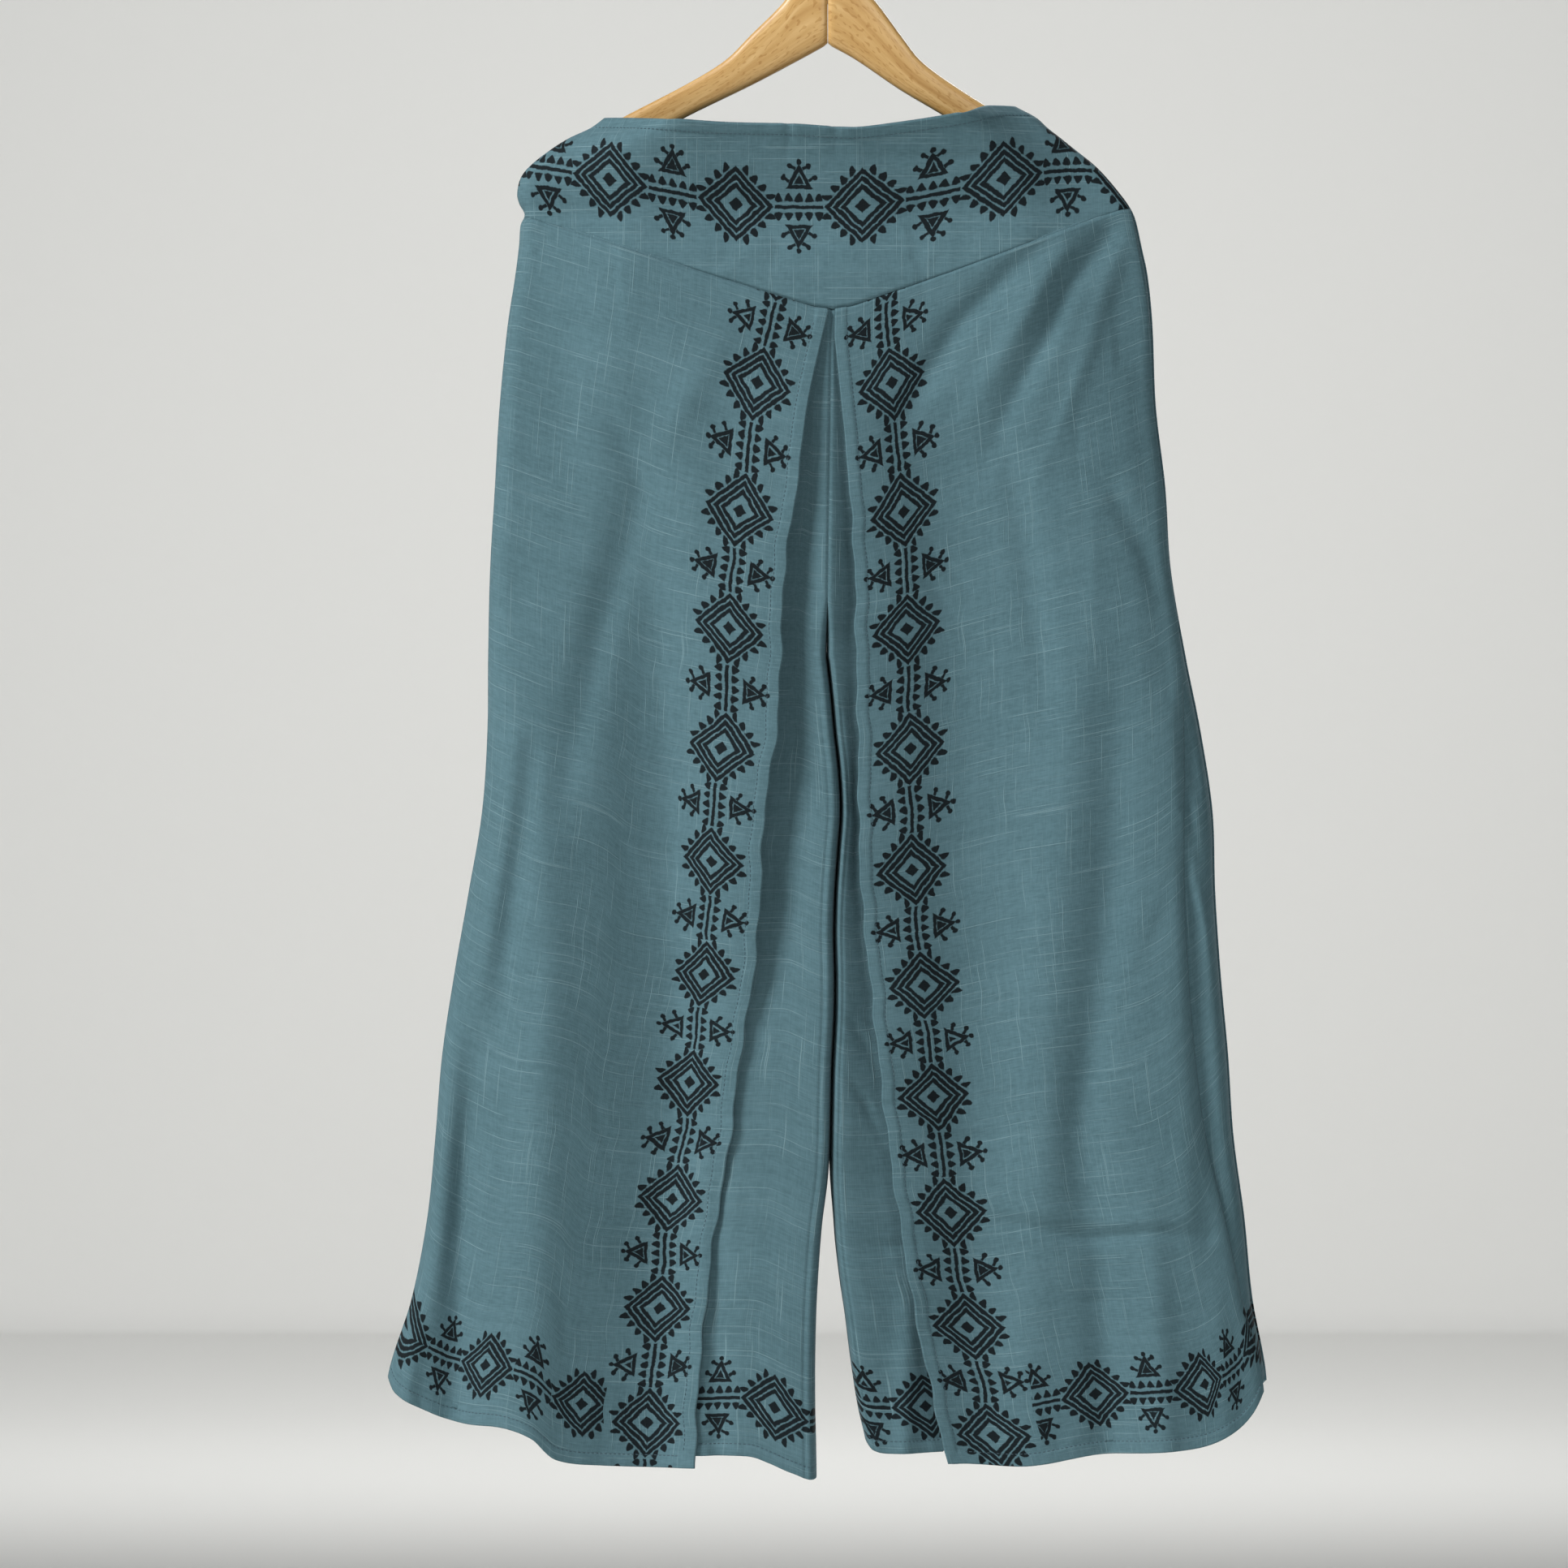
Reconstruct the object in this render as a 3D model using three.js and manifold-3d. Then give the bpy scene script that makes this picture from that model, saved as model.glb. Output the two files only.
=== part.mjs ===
// Wide-leg cotton trousers with a split overskirt front, hung by the waist on a wooden coat hanger.
// Millimetres, +Z up, +X to the right as seen from the front, and the front faces -Y.
// The origin is the seat of the hanger's hook, so "down" in every table is the distance below that seat.
import * as THREE from "three";
import { mergeVertices } from "three/addons/utils/BufferGeometryUtils.js";
import Module from "manifold-3d";

// Cloth and seams
const clothThickness = 1.2; // one layer of the slub cotton with its seam allowance
const yokeThickness = 2.4; // the yoke is cut double
const seamGap = 0.3; // between pieces that are sewn together
const seamRise = 0.4; // the same gap measured upwards at the sloping yoke seam
const layerStep = clothThickness + seamGap; // an overlay's outer face stands this far off the leg under it
const overlayDrop = 9; // the overlays hang this far below the legs
const waistBandHeight = 7; // turned and stitched upper edge of the yoke
const waistBandRise = 0.7;
const waistBandStep = 1; // height over which the band's lower edge rises

// Heights below the hook's seat
const waistSide = { left: 182, right: 174 }; // the yoke's upper edge at each side
const seamSide = { left: 257, right: 250 }; // where the yoke's lower seam meets each side
const seamSideMiddle = (seamSide.left + seamSide.right) / 2;
const yokePoint = 328; // the point of the V at the centre front
const backSeamCentre = 288; // the back yoke's seam is a shallow curve
const hemCovered = 1160; // typical heights of the hems, for finding a column's place along them
const hemOpen = 1176;
const hemBack = 1170;
const crotchTop = 538; // the crotch seam starts to turn under here
const crotch = 581;
const innerRoundness = 14; // the legs' inner sides turn on this radius
const foldsStartSide = 26; // folds grow from nothing over this distance from a side seam
const foldsStartInner = 22; // and over this one from an inseam
const fullShare = 0.5; // the garment is at its full depth this share of the way in from its side
const centreSeamTopX = 2.6;
const centreSeamCrotchX = -0.8;
const edgeStart = 2.5; // each overlay starts this far from the centre seam

// Silhouette: how far the cloth reaches to each side of the centre line.
const silhouette = [
  { down: 166, left: 147, right: 128 },
  { down: 174, left: 156, right: 139 },
  { down: 182, left: 165, right: 154 },
  { down: 190, left: 176, right: 163 },
  { down: 197, left: 191, right: 172 },
  { down: 205, left: 204, right: 182 },
  { down: 217, left: 219.5, right: 197 },
  { down: 226, left: 227, right: 206 },
  { down: 238, left: 230, right: 216 },
  { down: 246, left: 228.5, right: 222 },
  { down: 254, left: 224.5, right: 226.5 },
  { down: 262, left: 227.5, right: 229 },
  { down: 276, left: 228.5, right: 232 },
  { down: 300, left: 231.5, right: 237 },
  { down: 336, left: 237, right: 240.5 },
  { down: 396, left: 243, right: 243 },
  { down: 456, left: 246.5, right: 250 },
  { down: 516, left: 250, right: 254 },
  { down: 581, left: 251.5, right: 265 },
  { down: 636, left: 252, right: 276 },
  { down: 696, left: 256, right: 285 },
  { down: 756, left: 266, right: 287 },
  { down: 816, left: 276.5, right: 291 },
  { down: 876, left: 285.5, right: 296.5 },
  { down: 936, left: 290.5, right: 300.5 },
  { down: 996, left: 296.5, right: 308.5 },
  { down: 1056, left: 308, right: 314.5 },
  { down: 1116, left: 326, right: 325 },
  { down: 1200, left: 330, right: 326 },
];

// Free edges of the two overlays, as reach from the centre line.
const freeEdges = [
  { down: 328, left: 0, right: 5 },
  { down: 396, left: 15, right: 14.5 },
  { down: 456, left: 24.5, right: 20.5 },
  { down: 516, left: 35, right: 24.5 },
  { down: 581, left: 38.5, right: 23.5 },
  { down: 636, left: 41.5, right: 25 },
  { down: 696, left: 50, right: 26 },
  { down: 756, left: 52, right: 28.5 },
  { down: 816, left: 57, right: 35 },
  { down: 876, left: 66, right: 41 },
  { down: 936, left: 72, right: 48 },
  { down: 996, left: 80.5, right: 56 },
  { down: 1056, left: 87.5, right: 65 },
  { down: 1116, left: 93.5, right: 76 },
  { down: 1190, left: 99, right: 91 },
];

// Where the right overlay's outer side parts from the side seam, as reach from the centre line.
const rightCover = [
  { down: 250, reach: 222.5 },
  { down: 336, reach: 236.5 },
  { down: 396, reach: 239.5 },
  { down: 456, reach: 246 },
  { down: 516, reach: 250 },
  { down: 550, reach: 256 },
  { down: 581, reach: 259 },
  { down: 636, reach: 261 },
  { down: 756, reach: 261 },
  { down: 816, reach: 264 },
  { down: 876, reach: 269 },
  { down: 936, reach: 277 },
  { down: 996, reach: 289 },
  { down: 1056, reach: 301 },
  { down: 1116, reach: 316 },
  { down: 1200, reach: 321 },
];

// Inseams below the crotch, as X. The two legs never touch.
const inseams = [
  { down: 581, left: -1.1, right: -0.4 },
  { down: 608, left: 0.8, right: 3.2 },
  { down: 636, left: 2.6, right: 6 },
  { down: 666, left: 4.4, right: 8.6 },
  { down: 696, left: 4.8, right: 9.4 },
  { down: 726, left: 4, right: 8 },
  { down: 756, left: 2.8, right: 6.4 },
  { down: 816, left: 1.2, right: 4.6 },
  { down: 876, left: -0.2, right: 3.6 },
  { down: 936, left: -1.4, right: 3.4 },
  { down: 996, left: -2.6, right: 4.2 },
  { down: 1036, left: -6.4, right: 8.4 },
  { down: 1076, left: -9, right: 13.4 },
  { down: 1116, left: -9.8, right: 18.6 },
  { down: 1156, left: -9.2, right: 26 },
  { down: 1200, left: -8.2, right: 34 },
];

// Half the garment's depth: flat of the front and back, and the thinner depth beside the side seams.
const depths = [
  { down: 166, front: 25, back: 19, side: 9, roundness: 10.5 },
  { down: 200, front: 22, back: 21, side: 9, roundness: 10.5 },
  { down: 240, front: 26, back: 24, side: 9, roundness: 10.5 },
  { down: 290, front: 33, back: 28, side: 11, roundness: 12 },
  { down: 340, front: 36, back: 31, side: 13, roundness: 13 },
  { down: 450, front: 36, back: 33, side: 16, roundness: 15 },
  { down: 600, front: 34, back: 34, side: 17, roundness: 16 },
  { down: 900, front: 33, back: 33, side: 18, roundness: 18 },
  { down: 1200, front: 37, back: 36, side: 20, roundness: 20 },
];

// How far the leg fronts sink behind the overlays at the free edges.
const recess = [
  { down: 328, depth: 0 },
  { down: 360, depth: 3 },
  { down: 430, depth: 9 },
  { down: 560, depth: 12 },
  { down: 760, depth: 11 },
  { down: 980, depth: 8 },
  { down: 1190, depth: 5 },
];
const recessReach = 70; // the legs start to sink this far inside the free edge
const recessAtSeam = 0.35; // share of the recess that is left at the centre seam

// Heights of the edges across the garment, by X.
const topEdge = [
  { x: -170, down: 182 },
  { x: -140, down: 184.5 },
  { x: -80, down: 189.5 },
  { x: -27, down: 191 },
  { x: 10, down: 193.5 },
  { x: 32, down: 191 },
  { x: 89, down: 182 },
  { x: 120, down: 175 },
  { x: 145, down: 174 },
];
const overlayHem = [
  { x: -330, down: 1112 },
  { x: -322, down: 1125 },
  { x: -300, down: 1137 },
  { x: -272, down: 1147 },
  { x: -239, down: 1150 },
  { x: -218, down: 1158 },
  { x: -200, down: 1173 },
  { x: -170, down: 1178 },
  { x: -99, down: 1180 },
  { x: 90, down: 1176 },
  { x: 140, down: 1178 },
  { x: 194, down: 1170 },
  { x: 240, down: 1168 },
  { x: 276, down: 1164 },
  { x: 299, down: 1154 },
  { x: 314, down: 1140 },
  { x: 327, down: 1118 },
];
const openHem = [
  { x: -98, down: 1171 },
  { x: -58, down: 1171 },
  { x: -43, down: 1176 },
  { x: -27, down: 1183 },
  { x: -8, down: 1187 },
  { x: 26, down: 1157 },
  { x: 33, down: 1166 },
  { x: 45, down: 1169 },
  { x: 90, down: 1168 },
];
const backHem = [
  { x: -330, down: 1112 },
  { x: -300, down: 1134 },
  { x: -250, down: 1154 },
  { x: -200, down: 1174 },
  { x: -150, down: 1184 },
  { x: -80, down: 1190 },
  { x: -8, down: 1187 },
  { x: 26, down: 1157 },
  { x: 60, down: 1176 },
  { x: 100, down: 1184 },
  { x: 180, down: 1180 },
  { x: 250, down: 1168 },
  { x: 299, down: 1152 },
  { x: 327, down: 1118 },
];

// Folds: each runs from one point to another, "rise" out of the cloth, or into it where negative.
const frontFolds = [
  { topDown: 590, topX: -170, endDown: 1200, endX: -207, width: 17, rise: 8 },
  { topDown: 470, topX: -150, endDown: 1200, endX: -136, width: 17, rise: -9 },
  { topDown: 560, topX: -221, endDown: 900, endX: -227, width: 9, rise: -4 },
  { topDown: 600, topX: -236, endDown: 1010, endX: -252, width: 10, rise: 3.5 },
  { topDown: 840, topX: -279, endDown: 1150, endX: -281, width: 8, rise: -7 },
  { topDown: 310, topX: -62, endDown: 490, endX: -132, width: 13, rise: 4 },
  { topDown: 300, topX: -195, endDown: 520, endX: -148, width: 19, rise: -4.5 },
  { topDown: 262, topX: 166, endDown: 372, endX: 88, width: 10, rise: -5 },
  { topDown: 262, topX: 200, endDown: 400, endX: 140, width: 9, rise: -5 },
  { topDown: 262, topX: 226, endDown: 380, endX: 164, width: 9, rise: 3.5 },
  { topDown: 350, topX: 104, endDown: 640, endX: 76, width: 20, rise: -4 },
  { topDown: 450, topX: 150, endDown: 800, endX: 142, width: 30, rise: 5 },
  { topDown: 500, topX: 158, endDown: 900, endX: 222, width: 18, rise: -6 },
  { topDown: 780, topX: 220, endDown: 1010, endX: 170, width: 17, rise: -5 },
  { topDown: 730, topX: 240, endDown: 1200, endX: 262, width: 12, rise: 5 },
  { topDown: 900, topX: 196, endDown: 1200, endX: 206, width: 14, rise: -6 },
  { topDown: 920, topX: 150, endDown: 1200, endX: 144, width: 15, rise: 5 },
  { topDown: 900, topX: -46, endDown: 1200, endX: -40, width: 13, rise: 5 },
  { topDown: 700, topX: 273, endDown: 1040, endX: 300, width: 5, rise: 4 },
];
const backFolds = [
  { topDown: 420, topX: -186, endDown: 1200, endX: -232, width: 20, rise: 8 },
  { topDown: 520, topX: -140, endDown: 1200, endX: -170, width: 18, rise: -8 },
  { topDown: 480, topX: -84, endDown: 1200, endX: -104, width: 22, rise: 7 },
  { topDown: 700, topX: -48, endDown: 1200, endX: -56, width: 14, rise: -5 },
  { topDown: 800, topX: -272, endDown: 1160, endX: -284, width: 11, rise: -6 },
  { topDown: 310, topX: -60, endDown: 520, endX: -142, width: 15, rise: -4 },
  { topDown: 300, topX: 62, endDown: 500, endX: 148, width: 15, rise: -5 },
  { topDown: 430, topX: 96, endDown: 1200, endX: 122, width: 20, rise: 8 },
  { topDown: 540, topX: 158, endDown: 1200, endX: 182, width: 19, rise: -8 },
  { topDown: 500, topX: 206, endDown: 1200, endX: 244, width: 17, rise: 7 },
  { topDown: 760, topX: 66, endDown: 1200, endX: 74, width: 12, rise: -5 },
  { topDown: 820, topX: 270, endDown: 1150, endX: 290, width: 11, rise: -5 },
];
const foldFade = 90; // a fold grows to its full rise over this length

// Mesh rows and columns. Rows are heights on the centre seam, closer together round the crotch.
const rowHeights = [
  328, 352, 384, 420, 460, 500, 532, 556, 571, 578, 581, 588, 604, 636, 676, 720, 770, 820, 872, 924, 976,
  1028, 1080, 1124, 1162, 1187,
];
const centreHem = 1187;
const sideShares = [0, 0.5]; // columns from the side seam to the right overlay's outer side
const coverShares = [0, 0.012, 0.035, 0.07, 0.16, 0.28, 0.4, 0.52, 0.64, 0.76, 0.88, 1];
const openShares = [0.25, 0.5, 0.75, 0.9, 1];
const backShares = [0, 0.01, 0.03, 0.065, 0.14, 0.24, 0.35, 0.46, 0.57, 0.68, 0.79, 0.89, 0.96, 0.988, 1];
const yokeShares = [0, 0.1, 0.24, 0.38, 0.55, 0.78, 1]; // up to the foot of the waist band

// Coat hanger
const hangerThickness = 12;
const hangerBevel = 4.6; // the arms' long edges are rounded almost to half a circle
const seatGap = 1.4; // between the arms and the cloth that they carry
const neckHalfWidth = 11;
const neckTop = 72;
const stemRadius = 1.9;
const stemDepth = 26; // the hook's stem is screwed this far into the wood
const stemClearance = 0.35;
const stemShares = [0.1, 0.3, 0.65, 1]; // points down the straight stem
const hookRadius = 19; // to the middle of the wire
const hookTip = 192; // degrees round the hook at which the wire starts
const hookSweep = 232; // degrees of the round part of the hook
const hookSteps = 18;
const hookLeave = -52; // the bend to the stem heads from this place on the round part
const bendShare = 0.45; // the bend's middle point lies this share of the way there
const bendShift = new THREE.Vector3(-1.5, 0, 2);
const stemTop = 58;
const visibleArms = [
  { leftUpper: 24, rightUpper: 25, upperDown: 84 },
  { leftUpper: 33, rightUpper: 37, upperDown: 98 },
  { leftUpper: 57, rightUpper: 54, upperDown: 121 },
  { leftUpper: 75, rightUpper: 68, upperDown: 139 },
  { leftUpper: 102, rightUpper: 90, upperDown: 156 },
];
const armPitch = { left: 0.53, right: 0.7 }; // fall of each arm's lower edge for each millimetre outwards
const armRoot = 128; // height of the notch under the joint between the arms
const armTip = { left: 234, right: 238 }; // height of the outermost point of each arm's end
const shoulderTop = { left: 184, right: 178 }; // height at which each arm meets the shoulder's line
const shoulderSteps = 8;
const slopeInset = 0.7; // a sloping edge moves in by this share of the bevel each way
const armTipRadius = 8;
const armTipCorners = [
  { inwards: 0.3, below: 0.8 }, // in radii of the tip
  { inwards: 1.2, below: 1.1 },
];
const armRootInset = 1.2; // the notch's corner moves in by this share of the bevel
const armBow = { left: 1, right: 6 }; // how far the lower edge bows up in its middle
const lowerShares = [0.85, 0.6, 0.35, 0.1];

const smooth = (low, high, value) => THREE.MathUtils.smoothstep(value, low, high);

// Reads a column of a table at a key, on a smooth curve through the rows.
function lookUp(table, key, column, at) {
  const last = table.length - 1;
  if (at <= table[0][key]) return table[0][column];
  if (at >= table[last][key]) return table[last][column];
  let i = 0;
  while (table[i + 1][key] < at) i += 1;
  const slope = (a, b) => (table[b][column] - table[a][column]) / (table[b][key] - table[a][key]);
  const here = slope(i, i + 1);
  const span = table[i + 1][key] - table[i][key];
  const t = (at - table[i][key]) / span;
  const before = i > 0 ? slope(i - 1, i + 1) : here;
  const after = i < last - 1 ? slope(i, i + 2) : here;
  const t2 = t * t;
  const t3 = t2 * t;
  return (
    table[i][column] * (2 * t3 - 3 * t2 + 1) +
    table[i + 1][column] * (3 * t2 - 2 * t3) +
    span * (before * (t3 - 2 * t2 + t) + after * (t3 - t2))
  );
}

const sideName = (side) => (side < 0 ? "left" : "right");

// Reach of the legs' own cloth, which lies one layer inside the silhouette.
const reachAt = (side, down) => lookUp(silhouette, "down", sideName(side), down) - layerStep;

function centreSeamX(down) {
  const t = THREE.MathUtils.clamp((down - yokePoint) / (crotch - yokePoint), 0, 1);
  return THREE.MathUtils.lerp(centreSeamTopX, centreSeamCrotchX, t);
}

// X of a leg's inner boundary: the centre seam above the crotch and the inseam below it.
function innerX(side, down) {
  if (down <= crotch) return centreSeamX(down) + (side * seamGap) / 2;
  return lookUp(inseams, "down", sideName(side), down);
}

function edgeX(side, down) {
  const free = side * lookUp(freeEdges, "down", sideName(side), down);
  const nearest = innerX(side, down) + side * edgeStart;
  return side < 0 ? Math.min(free, nearest) : Math.max(free, nearest);
}

// 0 at the cloth's turned side and 1 once it lies flat, along a quarter circle.
function turned(distance, radius) {
  const t = THREE.MathUtils.clamp(1 - distance / radius, 0, 1);
  return Math.sqrt(1 - t * t);
}

// Sum of the folds at a point.
function foldRise(folds, x, down) {
  let rise = 0;
  for (const fold of folds) {
    if (down <= fold.topDown || down >= fold.endDown + foldFade) continue;
    const t = (down - fold.topDown) / (fold.endDown - fold.topDown);
    const away = (x - THREE.MathUtils.lerp(fold.topX, fold.endX, t)) / fold.width;
    const grow = smooth(fold.topDown, fold.topDown + foldFade, down);
    const fade = 1 - smooth(fold.endDown - foldFade / 3, fold.endDown + foldFade, down);
    rise += fold.rise * Math.exp(-away * away) * grow * fade;
  }
  return rise;
}

// How far the cloth stands in front of or behind the plane of the side seams.
function depthAt(side, face, x, down) {
  const reach = reachAt(side, down);
  const lean = (reachAt(side, down + 1) - reachAt(side, down - 1)) / 2;
  const fromSide = Math.max(reach - side * x, 0);
  const squareToSide = fromSide / Math.hypot(1, lean);
  const thin = lookUp(depths, "down", "side", down);
  const flat = lookUp(depths, "down", face, down);
  const body = thin + (flat - thin) * smooth(0, fullShare, fromSide / reach);
  const outerTurn = turned(squareToSide, lookUp(depths, "down", "roundness", down));
  const fromInner = Math.max(side * (x - innerX(side, down)), 0);
  const legs = smooth(crotchTop, crotch, down);
  const innerTurn = THREE.MathUtils.lerp(1, turned(fromInner, innerRoundness), legs);
  const folds = foldRise(face === "front" ? frontFolds : backFolds, x, down);
  const calmInner = THREE.MathUtils.lerp(1, smooth(0, foldsStartInner, fromInner), legs);
  const calm = smooth(0, foldsStartSide, squareToSide) * calmInner;
  return body * outerTurn * innerTurn + folds * calm;
}

// How far a leg front sinks behind the overlay at a point.
function sunk(side, x, down) {
  const depth = lookUp(recess, "down", "depth", down);
  const edge = edgeX(side, down);
  const fromEdge = side * (x - edge); // positive under the overlay
  if (fromEdge >= 0) return depth * (1 - smooth(0, recessReach, fromEdge));
  const open = Math.max(side * (edge - innerX(side, down)), edgeStart);
  return THREE.MathUtils.lerp(depth, depth * recessAtSeam, smooth(0, open, -fromEdge));
}

function seamDown(side, x) {
  const reach = reachAt(side, seamSideMiddle);
  const t = THREE.MathUtils.clamp(Math.abs(x - centreSeamTopX) / (reach - side * centreSeamTopX), 0, 1);
  return THREE.MathUtils.lerp(yokePoint, seamSide[sideName(side)], t);
}

function backSeamDown(side, x) {
  const t = THREE.MathUtils.clamp(Math.abs(x) / reachAt(side, seamSideMiddle), 0, 1);
  return THREE.MathUtils.lerp(backSeamCentre, seamSide[sideName(side)], t * t);
}

// A grid of cloth: each point has its place and the way out of the cloth there.
// Where a rim is given its own way out, the piece meets its neighbour squarely.
function clothGrid(rows, columns, pointAt, outwardY, rimAt) {
  const places = [];
  for (let r = 0; r < rows; r += 1) {
    places.push([]);
    for (let c = 0; c < columns; c += 1) places[r].push(pointAt(r, c));
  }
  const across = new THREE.Vector3();
  const along = new THREE.Vector3();
  return places.map((row, r) =>
    row.map((place, c) => {
      across.subVectors(row[Math.min(c + 1, columns - 1)], row[Math.max(c - 1, 0)]);
      along.subVectors(places[Math.min(r + 1, rows - 1)][c], places[Math.max(r - 1, 0)][c]);
      const out = new THREE.Vector3().crossVectors(across, along).normalize();
      if (out.y * outwardY < 0) out.negate();
      if (r === 0) out.setZ(0).normalize();
      return { place, out: rimAt(r, c, place) ?? out };
    }),
  );
}

// A closed wall between two distances from a grid's points, measured outwards.
function wallBetween(grid, innerLift, outerLift) {
  const rows = grid.length;
  const columns = grid[0].length;
  const positions = [];
  const addLayer = (lift) => {
    grid.forEach((row, r) =>
      row.forEach(({ place, out }, c) => {
        positions.push(...place.clone().addScaledVector(out, lift(r, c)).toArray());
      }),
    );
  };
  addLayer(outerLift);
  addLayer(innerLift);
  const index = [];
  const layer = rows * columns;
  const at = (r, c, inner = 0) => inner * layer + r * columns + c;
  const quad = (a, b, c, d) => index.push(a, b, c, a, c, d);
  for (let r = 0; r < rows - 1; r += 1) {
    for (let c = 0; c < columns - 1; c += 1) {
      quad(at(r, c), at(r + 1, c), at(r + 1, c + 1), at(r, c + 1));
      quad(at(r, c, 1), at(r, c + 1, 1), at(r + 1, c + 1, 1), at(r + 1, c, 1));
    }
    quad(at(r, 0), at(r, 0, 1), at(r + 1, 0, 1), at(r + 1, 0));
    quad(at(r, columns - 1), at(r + 1, columns - 1), at(r + 1, columns - 1, 1), at(r, columns - 1, 1));
  }
  for (let c = 0; c < columns - 1; c += 1) {
    quad(at(0, c), at(0, c + 1), at(0, c + 1, 1), at(0, c, 1));
    quad(at(rows - 1, c), at(rows - 1, c, 1), at(rows - 1, c + 1, 1), at(rows - 1, c + 1));
  }
  const geometry = new THREE.BufferGeometry();
  geometry.setAttribute("position", new THREE.Float32BufferAttribute(positions, 3));
  geometry.setIndex(signedVolume(positions, index) < 0 ? index.reverse() : index);
  geometry.computeVertexNormals();
  return geometry;
}

// Volume by the divergence theorem, which is negative where the faces point inwards.
function signedVolume(positions, index) {
  const corner = (i) => new THREE.Vector3().fromArray(positions, index[i] * 3);
  let volume = 0;
  for (let i = 0; i < index.length; i += 3) {
    volume += corner(i).dot(corner(i + 1).cross(corner(i + 2))) / 6;
  }
  return volume;
}

const rowShares = rowHeights.map((height) => (height - yokePoint) / (centreHem - yokePoint));
const sideways = (side) => new THREE.Vector3(side, 0, 0);
const forwards = (outwardY) => new THREE.Vector3(0, outwardY, 0);

// On a side seam the rim faces sideways, and on the centre seam it faces forwards or back.
// At the crotch and below it, the inner rim faces the other leg.
function legRim(side, outwardY, lastColumn) {
  return (r, c, place) => {
    if (c === 0) return sideways(side);
    if (c < lastColumn) return null;
    return Math.abs(place.y) > 2 * clothThickness ? forwards(outwardY) : sideways(-side);
  };
}

// The columns of a leg front, each a way to get X from the height.
function frontColumns(side) {
  const outer = (down) => side * reachAt(side, down);
  const cover = side < 0 ? outer : (down) => lookUp(rightCover, "down", "reach", down);
  const { lerp } = THREE.MathUtils;
  const columns = side < 0 ? [] : sideShares.map((t) => (down) => lerp(outer(down), cover(down), t));
  const firstCovered = columns.length;
  coverShares.forEach((t) => columns.push((down) => lerp(cover(down), edgeX(side, down), t)));
  const lastCovered = columns.length - 1;
  openShares.forEach((t) => columns.push((down) => lerp(edgeX(side, down), innerX(side, down), t)));
  return { columns, firstCovered, lastCovered };
}

// The hem of a leg front: just above the overlay's hem where it is covered.
function legFrontHem(side, column, layout) {
  const covered = lookUp(overlayHem, "x", "down", layout.columns[column](hemCovered)) - overlayDrop;
  if (column <= layout.lastCovered) return covered;
  return lookUp(openHem, "x", "down", layout.columns[column](hemOpen));
}

// A leg front, with one more row below its hem for the overlay that hangs longer.
function legFront(side) {
  const layout = frontColumns(side);
  const lastColumn = layout.columns.length - 1;
  const pointAt = (r, c) => {
    const xAt = layout.columns[c];
    const top = seamDown(side, xAt(yokePoint));
    const hem = legFrontHem(side, c, layout);
    const down = r < rowShares.length ? THREE.MathUtils.lerp(top, hem, rowShares[r]) : hem + overlayDrop;
    const x = xAt(down);
    const depth = Math.max(depthAt(side, "front", x, down) - sunk(side, x, down), 0);
    return new THREE.Vector3(x, -depth - seamGap / 2, -down);
  };
  const rim = legRim(side, -1, lastColumn);
  const grid = clothGrid(rowShares.length + 1, layout.columns.length, pointAt, -1, rim);
  return { layout, grid };
}

// An overlay is the leg front's covered columns, moved out of the cloth under it.
function overlay(side, front) {
  const { firstCovered, lastCovered } = front.layout;
  const grid = front.grid.map((row) => row.slice(firstCovered, lastCovered + 1));
  const lift = (r, c) => seamGap + sunk(side, grid[r][c].place.x, -grid[r][c].place.z);
  return wallBetween(grid, lift, (r, c) => lift(r, c) + clothThickness);
}

function legBack(side) {
  const { lerp } = THREE.MathUtils;
  const columns = backShares.map((t) => (down) => lerp(side * reachAt(side, down), innerX(side, down), t));
  const pointAt = (r, c) => {
    const top = backSeamDown(side, columns[c](backSeamCentre));
    const hem = lookUp(backHem, "x", "down", columns[c](hemBack));
    const centreShare = (rowHeights[r] - yokePoint) / (centreHem - yokePoint);
    const down = lerp(top, hem, backShare(top, hem, centreShare));
    const x = columns[c](down);
    return new THREE.Vector3(x, Math.max(depthAt(side, "back", x, down), 0) + seamGap / 2, -down);
  };
  const lastColumn = columns.length - 1;
  return clothGrid(rowShares.length, columns.length, pointAt, 1, legRim(side, 1, lastColumn));
}

// The back's rows meet the front's at the crotch, though the back starts higher.
function backShare(top, hem, share) {
  const crotchShare = (crotch - yokePoint) / (centreHem - yokePoint);
  const crotchHere = (crotch - top) / (hem - top);
  return share < crotchShare
    ? (share / crotchShare) * crotchHere
    : 1 - ((1 - share) / (1 - crotchShare)) * (1 - crotchHere);
}

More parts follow.
